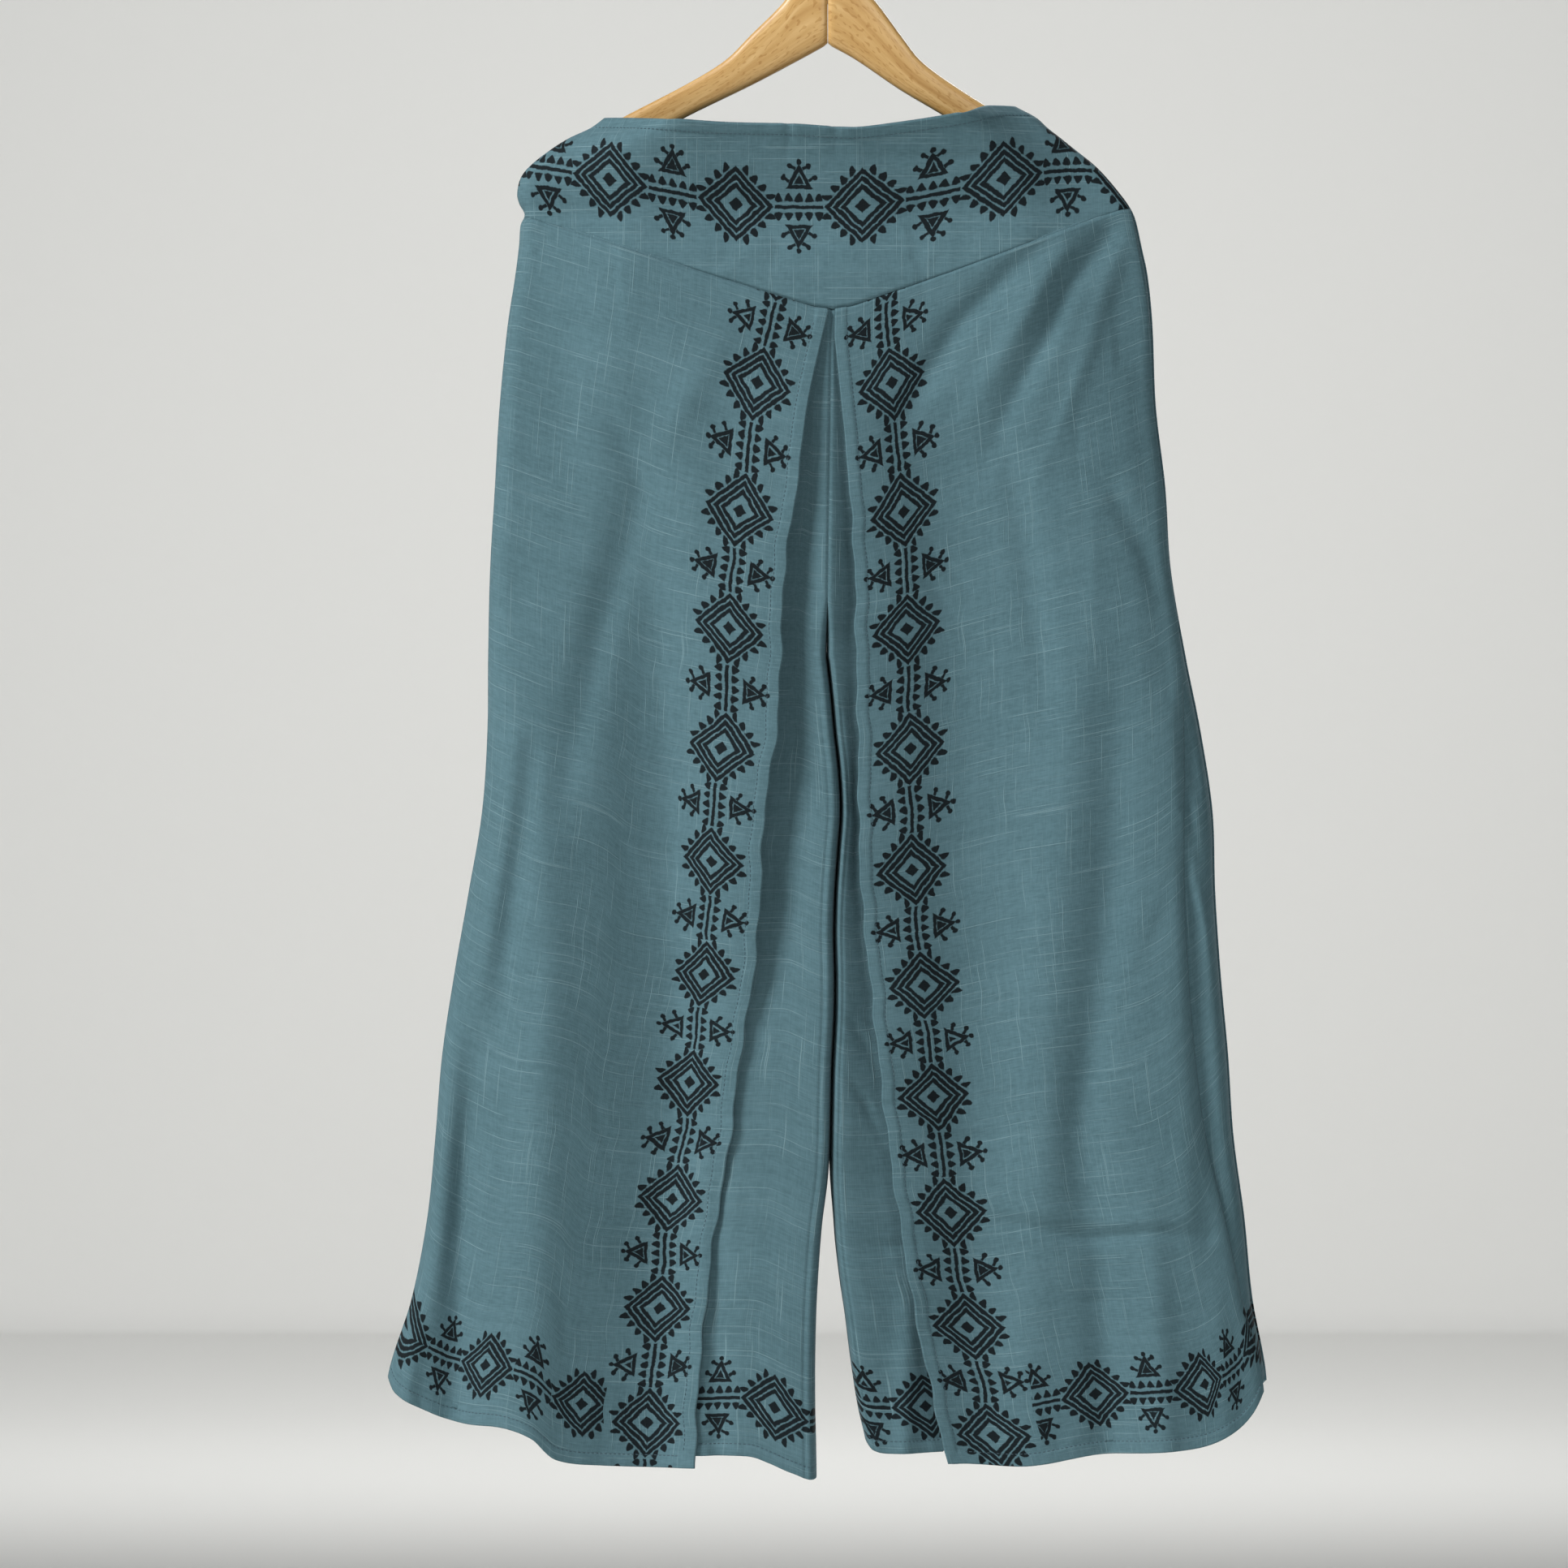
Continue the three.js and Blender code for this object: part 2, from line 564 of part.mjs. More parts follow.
// A yoke rises from the seam's points to the waist, and stands one layer step out, as the overlays do.
function yoke(face, seamRow, outwardY) {
  const bodyRows = yokeShares.length;
  const pointAt = (r, c) => {
    const { place, side } = seamRow[c];
    const from = -place.z - seamRise;
    const across = (place.x + reachAt(-1, from)) / (reachAt(-1, from) + reachAt(1, from));
    const topX = THREE.MathUtils.lerp(-reachAt(-1, waistSide.left), reachAt(1, waistSide.right), across);
    const top = lookUp(topEdge, "x", "down", topX);
    const bandFoot = top + waistBandHeight;
    const bodyDown = THREE.MathUtils.lerp(from, bandFoot, yokeShares[Math.min(r, bodyRows - 1)]);
    const down = r < bodyRows ? bodyDown : [bandFoot - waistBandStep, top][r - bodyRows];
    const x = THREE.MathUtils.lerp(-reachAt(-1, down), reachAt(1, down), across);
    const depth = Math.max(depthAt(side, face, x, down), 0);
    return new THREE.Vector3(x, outwardY * (depth + seamGap / 2), -down);
  };
  const last = seamRow.length - 1;
  const rim = (r, c) => {
    if (r === 0) return seamRow[c].out;
    if (c === 0) return sideways(-1);
    return c === last ? sideways(1) : null;
  };
  const grid = clothGrid(bodyRows + 2, seamRow.length, pointAt, outwardY, rim);
  const raised = (r) => layerStep + (r >= bodyRows ? waistBandRise : 0);
  return wallBetween(grid, () => layerStep - yokeThickness, raised);
}

// Manifold solids, used only to drill the arms for the hook's stem.
const wasm = await Module();
wasm.setup();

function toSolid(geometry) {
  const bare = geometry.clone();
  bare.deleteAttribute("normal");
  bare.deleteAttribute("uv");
  const merged = mergeVertices(bare, 1e-4);
  const triVerts = new Uint32Array(merged.index.array);
  return new wasm.Manifold(
    new wasm.Mesh({ numProp: 3, vertProperties: merged.attributes.position.array, triVerts }),
  );
}

function fromSolid(solid) {
  const { vertProperties, triVerts } = solid.getMesh();
  const geometry = new THREE.BufferGeometry();
  geometry.setAttribute("position", new THREE.Float32BufferAttribute(vertProperties, 3));
  geometry.setIndex([...triVerts]);
  geometry.computeVertexNormals();
  return geometry;
}

// The upper edge of an arm's end follows the inside of the shoulder that it carries.
function shoulderLine(side) {
  const line = [];
  const offset = yokeThickness + seatGap + hangerBevel;
  const first = shoulderTop[sideName(side)];
  const last = armTip[sideName(side)];
  for (let i = 0; i <= shoulderSteps; i += 1) {
    const down = THREE.MathUtils.lerp(first, last, i / shoulderSteps);
    const lean = (reachAt(side, down + 2) - reachAt(side, down - 2)) / 4;
    const reach = reachAt(side, down) + layerStep;
    const long = Math.hypot(1, lean);
    line.push(new THREE.Vector2(reach - offset / long, -down - (offset * lean) / long));
  }
  return line;
}

// One wooden arm, its outline drawn to the right and mirrored for the left.
function hangerArm(side) {
  const name = sideName(side);
  const inset = hangerBevel; // the bevel adds this much all round
  const middle = seamGap / 2 + inset;
  const shoulder = shoulderLine(side);
  const tip = shoulder[shoulder.length - 1];
  const pitch = armPitch[name];
  const top = -neckTop - inset;
  const outline = [new THREE.Vector2(middle, top), new THREE.Vector2(neckHalfWidth, top)];
  visibleArms.forEach((row) => {
    const x = row[`${name}Upper`] - inset * slopeInset;
    outline.push(new THREE.Vector2(x, -row.upperDown - inset * slopeInset));
  });
  outline.push(...shoulder);
  armTipCorners.forEach(({ inwards, below }) => {
    outline.push(new THREE.Vector2(tip.x - armTipRadius * inwards, tip.y - armTipRadius * below));
  });
  const rootDown = armRoot - inset * armRootInset;
  lowerShares.forEach((t) => {
    const x = tip.x * t;
    outline.push(new THREE.Vector2(x, armBow[name] * Math.sin(Math.PI * t) - rootDown - pitch * x));
  });
  outline.push(new THREE.Vector2(middle, -rootDown));
  const flat = hangerThickness - 2 * hangerBevel;
  const geometry = new THREE.ExtrudeGeometry(new THREE.Shape(outline), {
    depth: flat,
    bevelThickness: hangerBevel,
    bevelSize: hangerBevel,
    bevelSegments: 3,
  });
  geometry.translate(0, 0, -flat / 2);
  geometry.rotateX(Math.PI / 2);
  if (side < 0) geometry.rotateZ(Math.PI);
  const drill = new THREE.CylinderGeometry(
    stemRadius + stemClearance,
    stemRadius + stemClearance,
    2 * (stemDepth + stemClearance),
    16,
  );
  drill.rotateX(Math.PI / 2);
  drill.translate(0, 0, -neckTop);
  return fromSolid(toSolid(geometry).subtract(toSolid(drill)));
}

// The hook: a straight stem, an easy bend, and a round top whose inside is the seat.
function hangerHook() {
  const path = new THREE.CurvePath();
  const centre = new THREE.Vector3(0, 0, -hookRadius + stemRadius);
  const onRing = (degrees) => {
    const angle = THREE.MathUtils.degToRad(degrees);
    return new THREE.Vector3(hookRadius * Math.cos(angle), 0, hookRadius * Math.sin(angle)).add(centre);
  };
  const ring = [];
  for (let i = 0; i <= hookSteps; i += 1) ring.push(onRing(hookTip - (i * hookSweep) / hookSteps));
  const bendEnd = new THREE.Vector3(0, 0, -stemTop);
  const stemEnd = new THREE.Vector3(0, 0, -neckTop - stemDepth);
  ring.push(bendEnd.clone().lerp(onRing(hookLeave), bendShare).add(bendShift));
  ring.push(bendEnd);
  stemShares.forEach((t) => ring.push(bendEnd.clone().lerp(stemEnd, t)));
  path.add(new THREE.CatmullRomCurve3(ring, false, "centripetal"));
  const section = new THREE.Shape();
  section.absarc(0, 0, stemRadius, 0, 2 * Math.PI);
  return new THREE.ExtrudeGeometry(section, {
    extrudePath: path.curves[0],
    steps: 36,
    curveSegments: 4,
    bevelEnabled: false,
  });
}

const slubCotton = new THREE.MeshStandardMaterial({ color: 0x5f8591, roughness: 0.9, metalness: 0 });
const paleWood = new THREE.MeshStandardMaterial({ color: 0xcaa067, roughness: 0.5, metalness: 0 });
const steelWire = new THREE.MeshStandardMaterial({ color: 0xb4b6b8, roughness: 0.3, metalness: 1 });

const trousers = new THREE.Group();

function addPiece(name, geometry, material) {
  const mesh = new THREE.Mesh(geometry, material);
  mesh.name = name;
  trousers.add(mesh);
}

const fronts = { left: legFront(-1), right: legFront(1) };
const backs = { left: legBack(-1), right: legBack(1) };

for (const side of [-1, 1]) {
  const name = sideName(side);
  const innerFace = () => -clothThickness;
  const outerFace = () => 0;
  const legRows = fronts[name].grid.slice(0, rowHeights.length);
  addPiece(`leg_front_${name}`, wallBetween(legRows, innerFace, outerFace), slubCotton);
  addPiece(`leg_back_${name}`, wallBetween(backs[name], innerFace, outerFace), slubCotton);
  addPiece(`overlay_${name}`, overlay(side, fronts[name]), slubCotton);
}

// The yokes' columns are those of the pieces below them, from the left side seam to the right.
const seamPlaces = (grid, side, last) => grid[0].slice(0, last + 1).map((point) => ({ ...point, side }));
const frontSeam = [
  ...seamPlaces(fronts.left.grid, -1, fronts.left.layout.lastCovered),
  ...seamPlaces(fronts.right.grid, 1, fronts.right.layout.lastCovered).reverse(),
];
const backLast = backShares.length - 2;
const backSeam = [
  ...seamPlaces(backs.left, -1, backLast),
  ...seamPlaces(backs.right, 1, backLast).reverse(),
];
addPiece("yoke_front", yoke("front", frontSeam, -1), slubCotton);
addPiece("yoke_back", yoke("back", backSeam, 1), slubCotton);

addPiece("hanger_arm_left", hangerArm(-1), paleWood);
addPiece("hanger_arm_right", hangerArm(1), paleWood);
addPiece("hanger_hook", hangerHook(), steelWire);

export default trousers;
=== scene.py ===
import math

import bpy
import numpy as np
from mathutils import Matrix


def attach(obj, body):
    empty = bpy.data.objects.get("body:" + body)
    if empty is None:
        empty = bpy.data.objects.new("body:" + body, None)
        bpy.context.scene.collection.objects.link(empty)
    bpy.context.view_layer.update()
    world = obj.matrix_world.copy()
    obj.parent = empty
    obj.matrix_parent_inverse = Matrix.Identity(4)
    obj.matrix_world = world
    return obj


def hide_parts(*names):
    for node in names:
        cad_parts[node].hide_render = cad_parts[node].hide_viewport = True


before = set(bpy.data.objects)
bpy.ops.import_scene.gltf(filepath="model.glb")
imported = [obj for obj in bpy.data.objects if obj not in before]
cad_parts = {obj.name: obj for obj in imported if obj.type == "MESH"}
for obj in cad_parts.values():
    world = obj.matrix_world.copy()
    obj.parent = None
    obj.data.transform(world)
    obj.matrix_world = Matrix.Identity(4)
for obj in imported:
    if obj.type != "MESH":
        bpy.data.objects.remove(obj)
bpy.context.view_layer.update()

# Cotton trousers with a split overskirt front, hung by the waist on a wooden coat hanger.
# Sizes are in millimetres. "down" is below the seat of the hook, "x" is to the right of the centre
# line as seen from the front, and the front faces -Y. makeMesh turns them into metres.
metresPerMm = 0.001
body = "root"

# Cut and drape, shared by all the cloth

cut = {
    "cloth": 1.2,  # thickness of one layer
    "yoke": 2.4,  # the yoke is cut double
    "layer": 1.5,  # an overlay's outer face stands this far off the leg
    "hemStrip": 9.0,  # turned edge, stitched at this distance
    "hemThick": 0.8,  # the turned edge is this much thicker
    "hemGroove": 0.45,  # depth of its line of stitching
    "hemPucker": 0.25,
    "waistStrip": 7.0,
    "overlayDrop": 9.0,  # the overlays hang this far below the legs
    "yokePoint": 328.0,  # lowest point of the yoke's seam in front
    "seamSides": {"left": 257.0, "right": 250.0},  # where that seam meets the side seams
    "seamLevel": 254.0,
    "backSeamCentre": 288.0,
    "crotchTop": 538.0,  # the centre seam gives way to the inseams between these two
    "crotch": 581.0,
    "centreTopX": 2.6,  # the centre seam hangs a little aslant
    "centreCrotchX": -0.8,
    "edgeStart": 2.5,  # the free edges start this far from the centre seam
    "recessReach": 70.0,  # how far behind an overlay the leg's sinking fades out
    "clearOfMiddle": 0.06,  # half the gap between front and back at the side seams
}

silhouette = {
    "down": [166, 174, 182, 190, 197, 205, 217, 226, 238, 246, 254, 262, 276, 300, 336, 396, 456, 516,
             581, 636, 696, 756, 816, 876, 936, 996, 1056, 1116, 1200],
    "left": [147, 156, 165, 176, 191, 204, 219.5, 227, 230, 228.5, 224.5, 227.5, 228.5, 231.5, 237, 243,
             246.5, 250, 251.5, 252, 256, 266, 276.5, 285.5, 290.5, 296.5, 308, 326, 330],
    "right": [128, 139, 154, 163, 172, 182, 197, 206, 216, 222, 226.5, 229, 232, 237, 240.5, 243, 250,
              254, 265, 276, 285, 287, 291, 296.5, 300.5, 308.5, 314.5, 325, 326],
}

# Free edges of the overlays, as reach from the centre line
freeEdges = {
    "down": [328, 396, 456, 516, 581, 636, 696, 756, 816, 876, 936, 996, 1056, 1116, 1190],
    "left": [0, 15, 22.5, 31.5, 34.5, 37.5, 46.5, 49.5, 54.5, 64.5, 72, 82, 89.5, 95.5, 99],
    "right": [3, 10, 15.5, 19.5, 20.5, 22, 22.5, 24.5, 30.5, 37, 44, 52.5, 62.5, 75, 91],
}

# Small waves in the free edges, as stitching gives: rise, length over 2 pi, and shift
scallops = {
    "grows": (380, 520),
    "waves": ((0.7, 9.3, 1), (0.5, 5.1, 2)),
}

# Outer side of the right overlay, which turns in ahead of the side seam
rightCover = {
    "down": [250, 336, 396, 456, 516, 550, 581, 636, 756, 816, 876, 936, 996, 1056, 1116, 1200],
    "reach": [224, 238, 241, 248, 253, 258, 261, 263, 263, 266, 271, 279, 293, 306, 321, 325],
}

inseams = {
    "down": [581, 608, 636, 666, 696, 726, 756, 786, 816, 846, 886, 936, 966, 1006, 1042, 1066, 1100,
             1136, 1161, 1200],
    "left": [-1, 1.8, 4.2, 7.4, 8.7, 6.6, 4.6, 3.8, 4.4, 4.2, 2.4, 1.4, -0.4, -4.6, -7.2, -8.4, -9.2,
             -9.2, -8.6, -8],
    "right": [-0.4, 3, 5.6, 9, 10.4, 8.4, 6.2, 5.2, 5.9, 5.6, 3.8, 2.8, 2.9, 4.6, 8.6, 12.2, 16.5, 22.1,
              27.8, 34],
}

# From the crotch down to "part" the legs hang together: half the gap between them, and how far to one
# side the line lies. The back's line lies behind the left leg, so nothing shows between the legs.
inseamLines = {
    "part": (930, 1000),
    "front": {"half": 0.3, "shift": 0.0},
    "back": {"half": 0.05, "shift": -1.2},
}

# How the inner side of each leg turns: on the left a pressed flat strip with a crease beside it, on
# the right a tight roll
innerSides = {
    "front": {"left": {"wide": 8.5, "bend": 3.6}, "right": {"wide": 5.5, "bend": 3.0}},
    "back": {"left": {"wide": 15.0, "bend": 2.0}, "right": {"wide": 15.0, "bend": 2.0}},
}

# Half depth of the garment at its flat, beside the side seams, and the radius of the turned side
depths = {
    "down": [166, 200, 240, 290, 340, 450, 600, 900, 1200],
    "front": [26, 25, 28, 32.5, 35, 35.5, 34, 34, 38],
    "back": [19, 21, 24, 28, 31, 33, 34, 33, 36],
    "side": [9, 9, 9, 11, 13, 16, 17, 18, 20],
    "sideFrontRight": [9, 9, 9, 12, 16, 22, 25, 26, 28],
    "round": [10.5, 10.5, 10.5, 12, 13, 15, 16, 18, 20],
    "fullFrom": 0.4,  # share of the way in from the side seam at which the cloth is at its fullest
    "bend": 2.0,
    "bendFrontRight": 2.8,
}

# How far the legs sink behind the overlays at the free edges
recess = {
    "down": [328, 360, 430, 500, 560, 640, 700, 760, 830, 900, 980, 1190],
    "left": [0, 2, 4.2, 7, 10.5, 12.5, 12, 8.5, 4, 1.8, 1.2, 1],
    "right": [0, 2, 4.6, 6.4, 7.4, 8, 8.6, 9, 9, 9.2, 8.5, 7],
    "leftAtSeam": [0.35, 0.35, 0.25, 0.15, 0.1, 0.05, 0, -0.2, -1.0, -2.2, -3.2, -3.6],
    "rightAtSeam": [0.35, 0.35, 0.25, 0.15, 0.1, 0.1, 0.05, 0, -0.15, -0.25, -0.25, -0.1],
}

topEdge = {
    "x": [-170, -140, -80, -29, 10, 32, 89, 120, 145],
    "down": [182, 184.5, 189.5, 191, 193.5, 191, 182, 175, 174],
}
overlayHem = {
    "x": [-330, -322, -300, -272, -239, -218, -200, -170, -99, 90, 140, 194, 240, 276, 299, 314, 327],
    "down": [1112, 1125, 1137, 1147, 1150, 1158, 1173, 1178, 1180, 1176, 1178, 1170, 1168, 1164, 1154,
             1140, 1118],
}
openHem = {
    "x": [-98, -58, -43, -27, -8, 26, 33, 45, 90],
    "down": [1171, 1171, 1176, 1183, 1187, 1157, 1166, 1169, 1168],
}
backHem = {
    "x": [-330, -300, -250, -200, -150, -98, -58, -27, -8, 26, 33, 60, 140, 194, 250, 299, 327],
    "down": [1112, 1132, 1148, 1170, 1174, 1168, 1168, 1178, 1183, 1150, 1162, 1164, 1173, 1167, 1162,
             1150, 1116],
}

# Folds laid by hand. Each has its width to the left and to the right, so that a pleat can be steep
# on one side, and the points that it runs through, as (down, x, rise out of the cloth).
frontFolds = [
    (13, 13, [(350, -80, 1), (392, -104, 3.5), (440, -130, 1)]),
    (11, 10, [(385, -171, -1), (425, -150, -3.2), (462, -134, -1)]),
    (20, 20, [(318, -190, -2), (400, -194, -4), (490, -192, -2)]),
    (15, 12, [(440, -134, -1), (500, -150, -4), (570, -170, -4.6), (654, -189, -3.6), (700, -198, -1)]),
    (26, 24, [(560, -232, 1), (640, -226, 4), (720, -214, 8), (846, -211, 9), (1000, -217, 9),
        (1100, -222, 9), (1200, -228, 9)]),
    (54, 27, [(350, -150, -4), (450, -140, -11), (570, -130, -19), (666, -122, -24), (850, -116, -25),
        (930, -118, -25), (1026, -122, -24), (1116, -128, -21), (1200, -132, -17)]),
    (9, 11, [(650, -236, 2), (740, -246, 4.5), (860, -262, 4), (930, -268, 1)]),
    (9, 8, [(650, -218, -2), (720, -225, -4.5), (800, -236, -3.5), (850, -240, -1)]),
    (15, 13, [(800, -258, -1), (876, -264, -7), (966, -269, -12), (1056, -270, -14), (1120, -272, -12),
        (1200, -276, -9)]),
    (12, 12, [(930, -256, 1), (1030, -262, 3), (1200, -268, 4)]),
    (8, 9, [(960, -298, 2), (1060, -308, 8), (1130, -314, 6)]),
    (10, 10, [(276, 162, -3), (300, 134, -6), (336, 98, -6), (386, 66, -4), (420, 50, -1)]),
    (9, 9, [(270, 208, -3), (304, 178, -6), (340, 162, -6), (402, 132, -4), (440, 116, -1)]),
    (9, 9, [(284, 172, 2), (330, 144, 4), (370, 122, 3), (410, 100, 1)]),
    (8, 8, [(262, 226, 1), (310, 204, 3), (370, 186, 2), (430, 168, 1)]),
    (8, 10, [(446, 170, -1), (456, 208, -3), (504, 234, -3.6), (550, 252, -2)]),
    (11, 11, [(430, 134, -2), (516, 148, -3.4), (600, 160, -3), (640, 166, -1)]),
    (26, 22, [(440, 190, 1), (540, 192, 3), (640, 180, 5), (740, 168, 6), (840, 160, 7), (930, 158, 6),
        (1000, 150, 5), (1100, 146, 6), (1200, 146, 7)]),
    (36, 52, [(330, 70, -4), (420, 86, -8), (540, 100, -11), (700, 106, -11), (900, 108, -11),
        (1100, 112, -9), (1200, 116, -7)]),
    (36, 18, [(380, 214, 3), (560, 226, 5), (760, 242, 5), (960, 254, 5), (1180, 270, 4)]),
    (4, 4, [(500, 74, -0.6), (516, 90, -1.6), (534, 106, -0.5)]),
    (4, 4, [(524, 72, -0.5), (540, 84, -1.5), (554, 98, -0.5)]),
    (15, 14, [(600, 212, -1), (660, 212, -3), (756, 208, -5), (846, 198, -5), (930, 184, -5),
        (1000, 186, -3)]),
    (14, 10, [(620, 250, 2), (700, 259, 4), (850, 266, 4), (960, 273, 4), (1100, 290, 4),
        (1200, 298, 4)]),
    (10, 10, [(820, 262, -1), (900, 272, -3), (996, 279, -4), (1060, 284, -1)]),
    (16, 14, [(880, 190, -1), (980, 198, -5), (1080, 204, -8), (1200, 208, -9)]),
    (13, 13, [(960, 236, 1), (1060, 242, 5), (1200, 250, 7)]),
    (5, 6, [(996, 104, -1), (1002, 142, -2.6), (1012, 196, -3.4), (1006, 236, -3), (1010, 280, -2)]),
    (6, 8, [(986, 120, 0.6), (990, 160, 1.8), (1000, 210, 2.2), (996, 262, 1)]),
    (4, 5, [(928, 60, -0.5), (938, 96, -1.6), (934, 130, -0.5)]),
    (5, 5, [(1050, 168, -0.4), (1058, 192, -1.2), (1054, 220, -0.4)]),
    (8, 8, [(900, -78, -1), (1000, -82, -4), (1200, -82, -6)]),
    (4, 4, [(846, 12, -0.5), (862, 24, -1.6), (880, 34, -0.5)]),
    (4, 4, [(890, 14, -0.5), (912, 28, -1.8), (940, 40, -0.5)]),
    (5, 5, [(1012, 22, -0.5), (1018, 42, -2), (1016, 64, -1)]),
    (9, 9, [(1040, 60, 1), (1100, 58, 4), (1200, 58, 5)]),
    (4, 6, [(700, 264, 2), (748, 271, 7), (780, 280, 14), (819, 286, 14), (860, 291, 9), (920, 296, 3)]),
    (3, 4, [(664, 263, 1), (699, 272, 6), (722, 275, 3)]),
]
yokeFolds = [
    (7, 7, [(240, -204, -0.6), (262, -170, -1.8), (296, -106, -0.6)]),
    (6, 6, [(212, 40, -0.5), (216, 90, -1.2), (206, 140, -0.5)]),
    (3, 3, [(190, -29, -1.4), (216, -30, -0.3)]),
    (3, 3, [(190, 5, -1.4), (214, 6, -0.3)]),
    (5, 5, [(262, -46, -0.3), (280, -36, -1), (296, -42, -0.3)]),
    (26, 26, [(250, 40, 1), (290, 14, 1.6), (320, 4, 0.5)]),
]
backFolds = [
    (20, 18, [(420, -180, 1), (560, -196, 6), (800, -212, 9), (1000, -222, 9), (1200, -234, 9)]),
    (18, 12, [(500, -138, -1), (640, -148, -6), (860, -160, -9), (1050, -168, -10), (1200, -172, -10)]),
    (20, 20, [(460, -82, 1), (640, -90, 6), (900, -98, 8), (1200, -106, 8)]),
    (12, 14, [(700, -46, -1), (860, -52, -5), (1200, -58, -7)]),
    (10, 10, [(800, -264, -1), (940, -278, -6), (1160, -286, -7)]),
    (13, 13, [(300, -56, -1), (350, -82, -4.5), (430, -118, -4), (510, -142, -1)]),
    (13, 12, [(296, 64, -1), (350, 90, -5), (420, 124, -4.5), (500, 150, -1)]),
    (9, 9, [(290, 130, 1), (350, 156, 3), (420, 184, 2), (470, 204, 1)]),
    (20, 20, [(420, 94, 1), (640, 102, 7), (900, 112, 9), (1200, 124, 9)]),
    (12, 18, [(540, 156, -1), (700, 162, -7), (940, 172, -9), (1200, 184, -10)]),
    (16, 15, [(500, 202, 1), (720, 218, 6), (980, 234, 8), (1200, 246, 8)]),
    (12, 11, [(760, 62, -1), (940, 68, -5), (1200, 74, -6)]),
    (10, 10, [(820, 264, -1), (980, 280, -5), (1150, 292, -5)]),
    (5, 5, [(640, -176, -0.5), (650, -140, -1.8), (644, -110, -0.6)]),
    (5, 5, [(760, 90, -0.5), (772, 130, -1.8), (764, 166, -0.6)]),
]


def smoothStep(low, high, value):
    # 0 at low and 1 at high, and 3 t^2 - 2 t^3 of the share t between them
    t = np.clip((value - low) / (high - low), 0, 1)
    return t * t * (3 - 2 * t)


def readTable(table, key, column, at):
    # A smooth curve through a table's rows: cubic pieces whose slopes come from the rows either side
    keys = np.array(table[key], float)
    values = np.array(table[column], float)
    steps = np.diff(values) / np.diff(keys)
    slopes = np.concatenate([steps[:1], (values[2:] - values[:-2]) / (keys[2:] - keys[:-2]), steps[-1:]])
    i = np.clip(np.searchsorted(keys, at, side="right") - 1, 0, len(keys) - 2)
    span = keys[i + 1] - keys[i]
    t = np.clip((at - keys[i]) / span, 0, 1)
    rise = values[i] * (2 * t**3 - 3 * t**2 + 1) + values[i + 1] * (3 * t**2 - 2 * t**3)
    return rise + span * (slopes[i] * (t**3 - 2 * t**2 + t) + slopes[i + 1] * (t**3 - t**2))


def sideName(side):
    # Sides are as seen from the front: -1 is left and 1 is right
    return "left" if side < 0 else "right"


def reachAt(side, down, out=0.0):
    # Half width of the garment at the legs' side: the silhouette less the layer of an overlay
    return readTable(silhouette, "down", sideName(side), down) - cut["layer"] + out


def innerAt(side, down, face="front"):
    # The centre seam above the crotch, and the inseam below it
    t = np.clip((down - cut["yokePoint"]) / (cut["crotch"] - cut["yokePoint"]), 0, 1)
    centre = cut["centreTopX"] + (cut["centreCrotchX"] - cut["centreTopX"]) * t + side * 0.02
    own = readTable(inseams, "down", sideName(side), down)
    other = readTable(inseams, "down", sideName(-side), down)
    line = inseamLines[face]
    together = (own + other) / 2 + line["shift"] + side * line["half"]
    inseam = together + (own - together) * smoothStep(*inseamLines["part"], down)
    return centre + (inseam - centre) * smoothStep(cut["crotch"] - 1, cut["crotch"] + 4, down)


def edgeAt(side, down):
    # An overlay's free edge: its table with small waves, and never past the centre
    free = side * readTable(freeEdges, "down", sideName(side), down)
    waves = sum(rise * np.sin(down / wave + shift * side) for rise, wave, shift in scallops["waves"])
    free = free + side * smoothStep(*scallops["grows"], down) * waves
    nearest = innerAt(side, down) + side * cut["edgeStart"]
    return np.minimum(free, nearest) if side < 0 else np.maximum(free, nearest)


def turned(distance, radius, bend=2.0):
    # 0 where the cloth turns away at its side, and 1 where it lies flat: a quarter circle, or with a
    # bend above 2 a squarer turn
    t = np.clip(1 - distance / radius, 0, 1)
    return (1 - t**bend) ** (1 / bend)


def foldRise(folds, x, down):
    # For each fold: the rise at the nearest point of its line, times a bell curve of the distance
    total = np.zeros_like(x)
    for leftWidth, rightWidth, points in folds:
        best = np.full(x.shape, 1e9)
        rise = np.zeros_like(x)
        for (downA, xA, riseA), (downB, xB, riseB) in zip(points, points[1:]):
            alongX, alongDown = xB - xA, downB - downA
            length = math.hypot(alongX, alongDown)
            t = ((x - xA) * alongX + (down - downA) * alongDown) / length**2
            t = np.clip(t, 0, 1)
            awayX, awayDown = x - xA - t * alongX, down - downA - t * alongDown
            away = np.hypot(awayX, awayDown)
            isRight = awayX * alongDown - awayDown * alongX > 0
            scaled = away / np.where(isRight, rightWidth, leftWidth)
            nearer = scaled < best
            rise = np.where(nearer, riseA + (riseB - riseA) * t, rise)
            best = np.minimum(best, scaled)
        total += rise * np.exp(-best * best)
    return total


creases = {
    "length": (18, 70),
    "rise": (0.25, 0.8),
    "width": (2.5, 6),
    "endShare": 0.2,  # of the rise, at both ends
    "softSide": 1.3,  # one side is this much wider
}


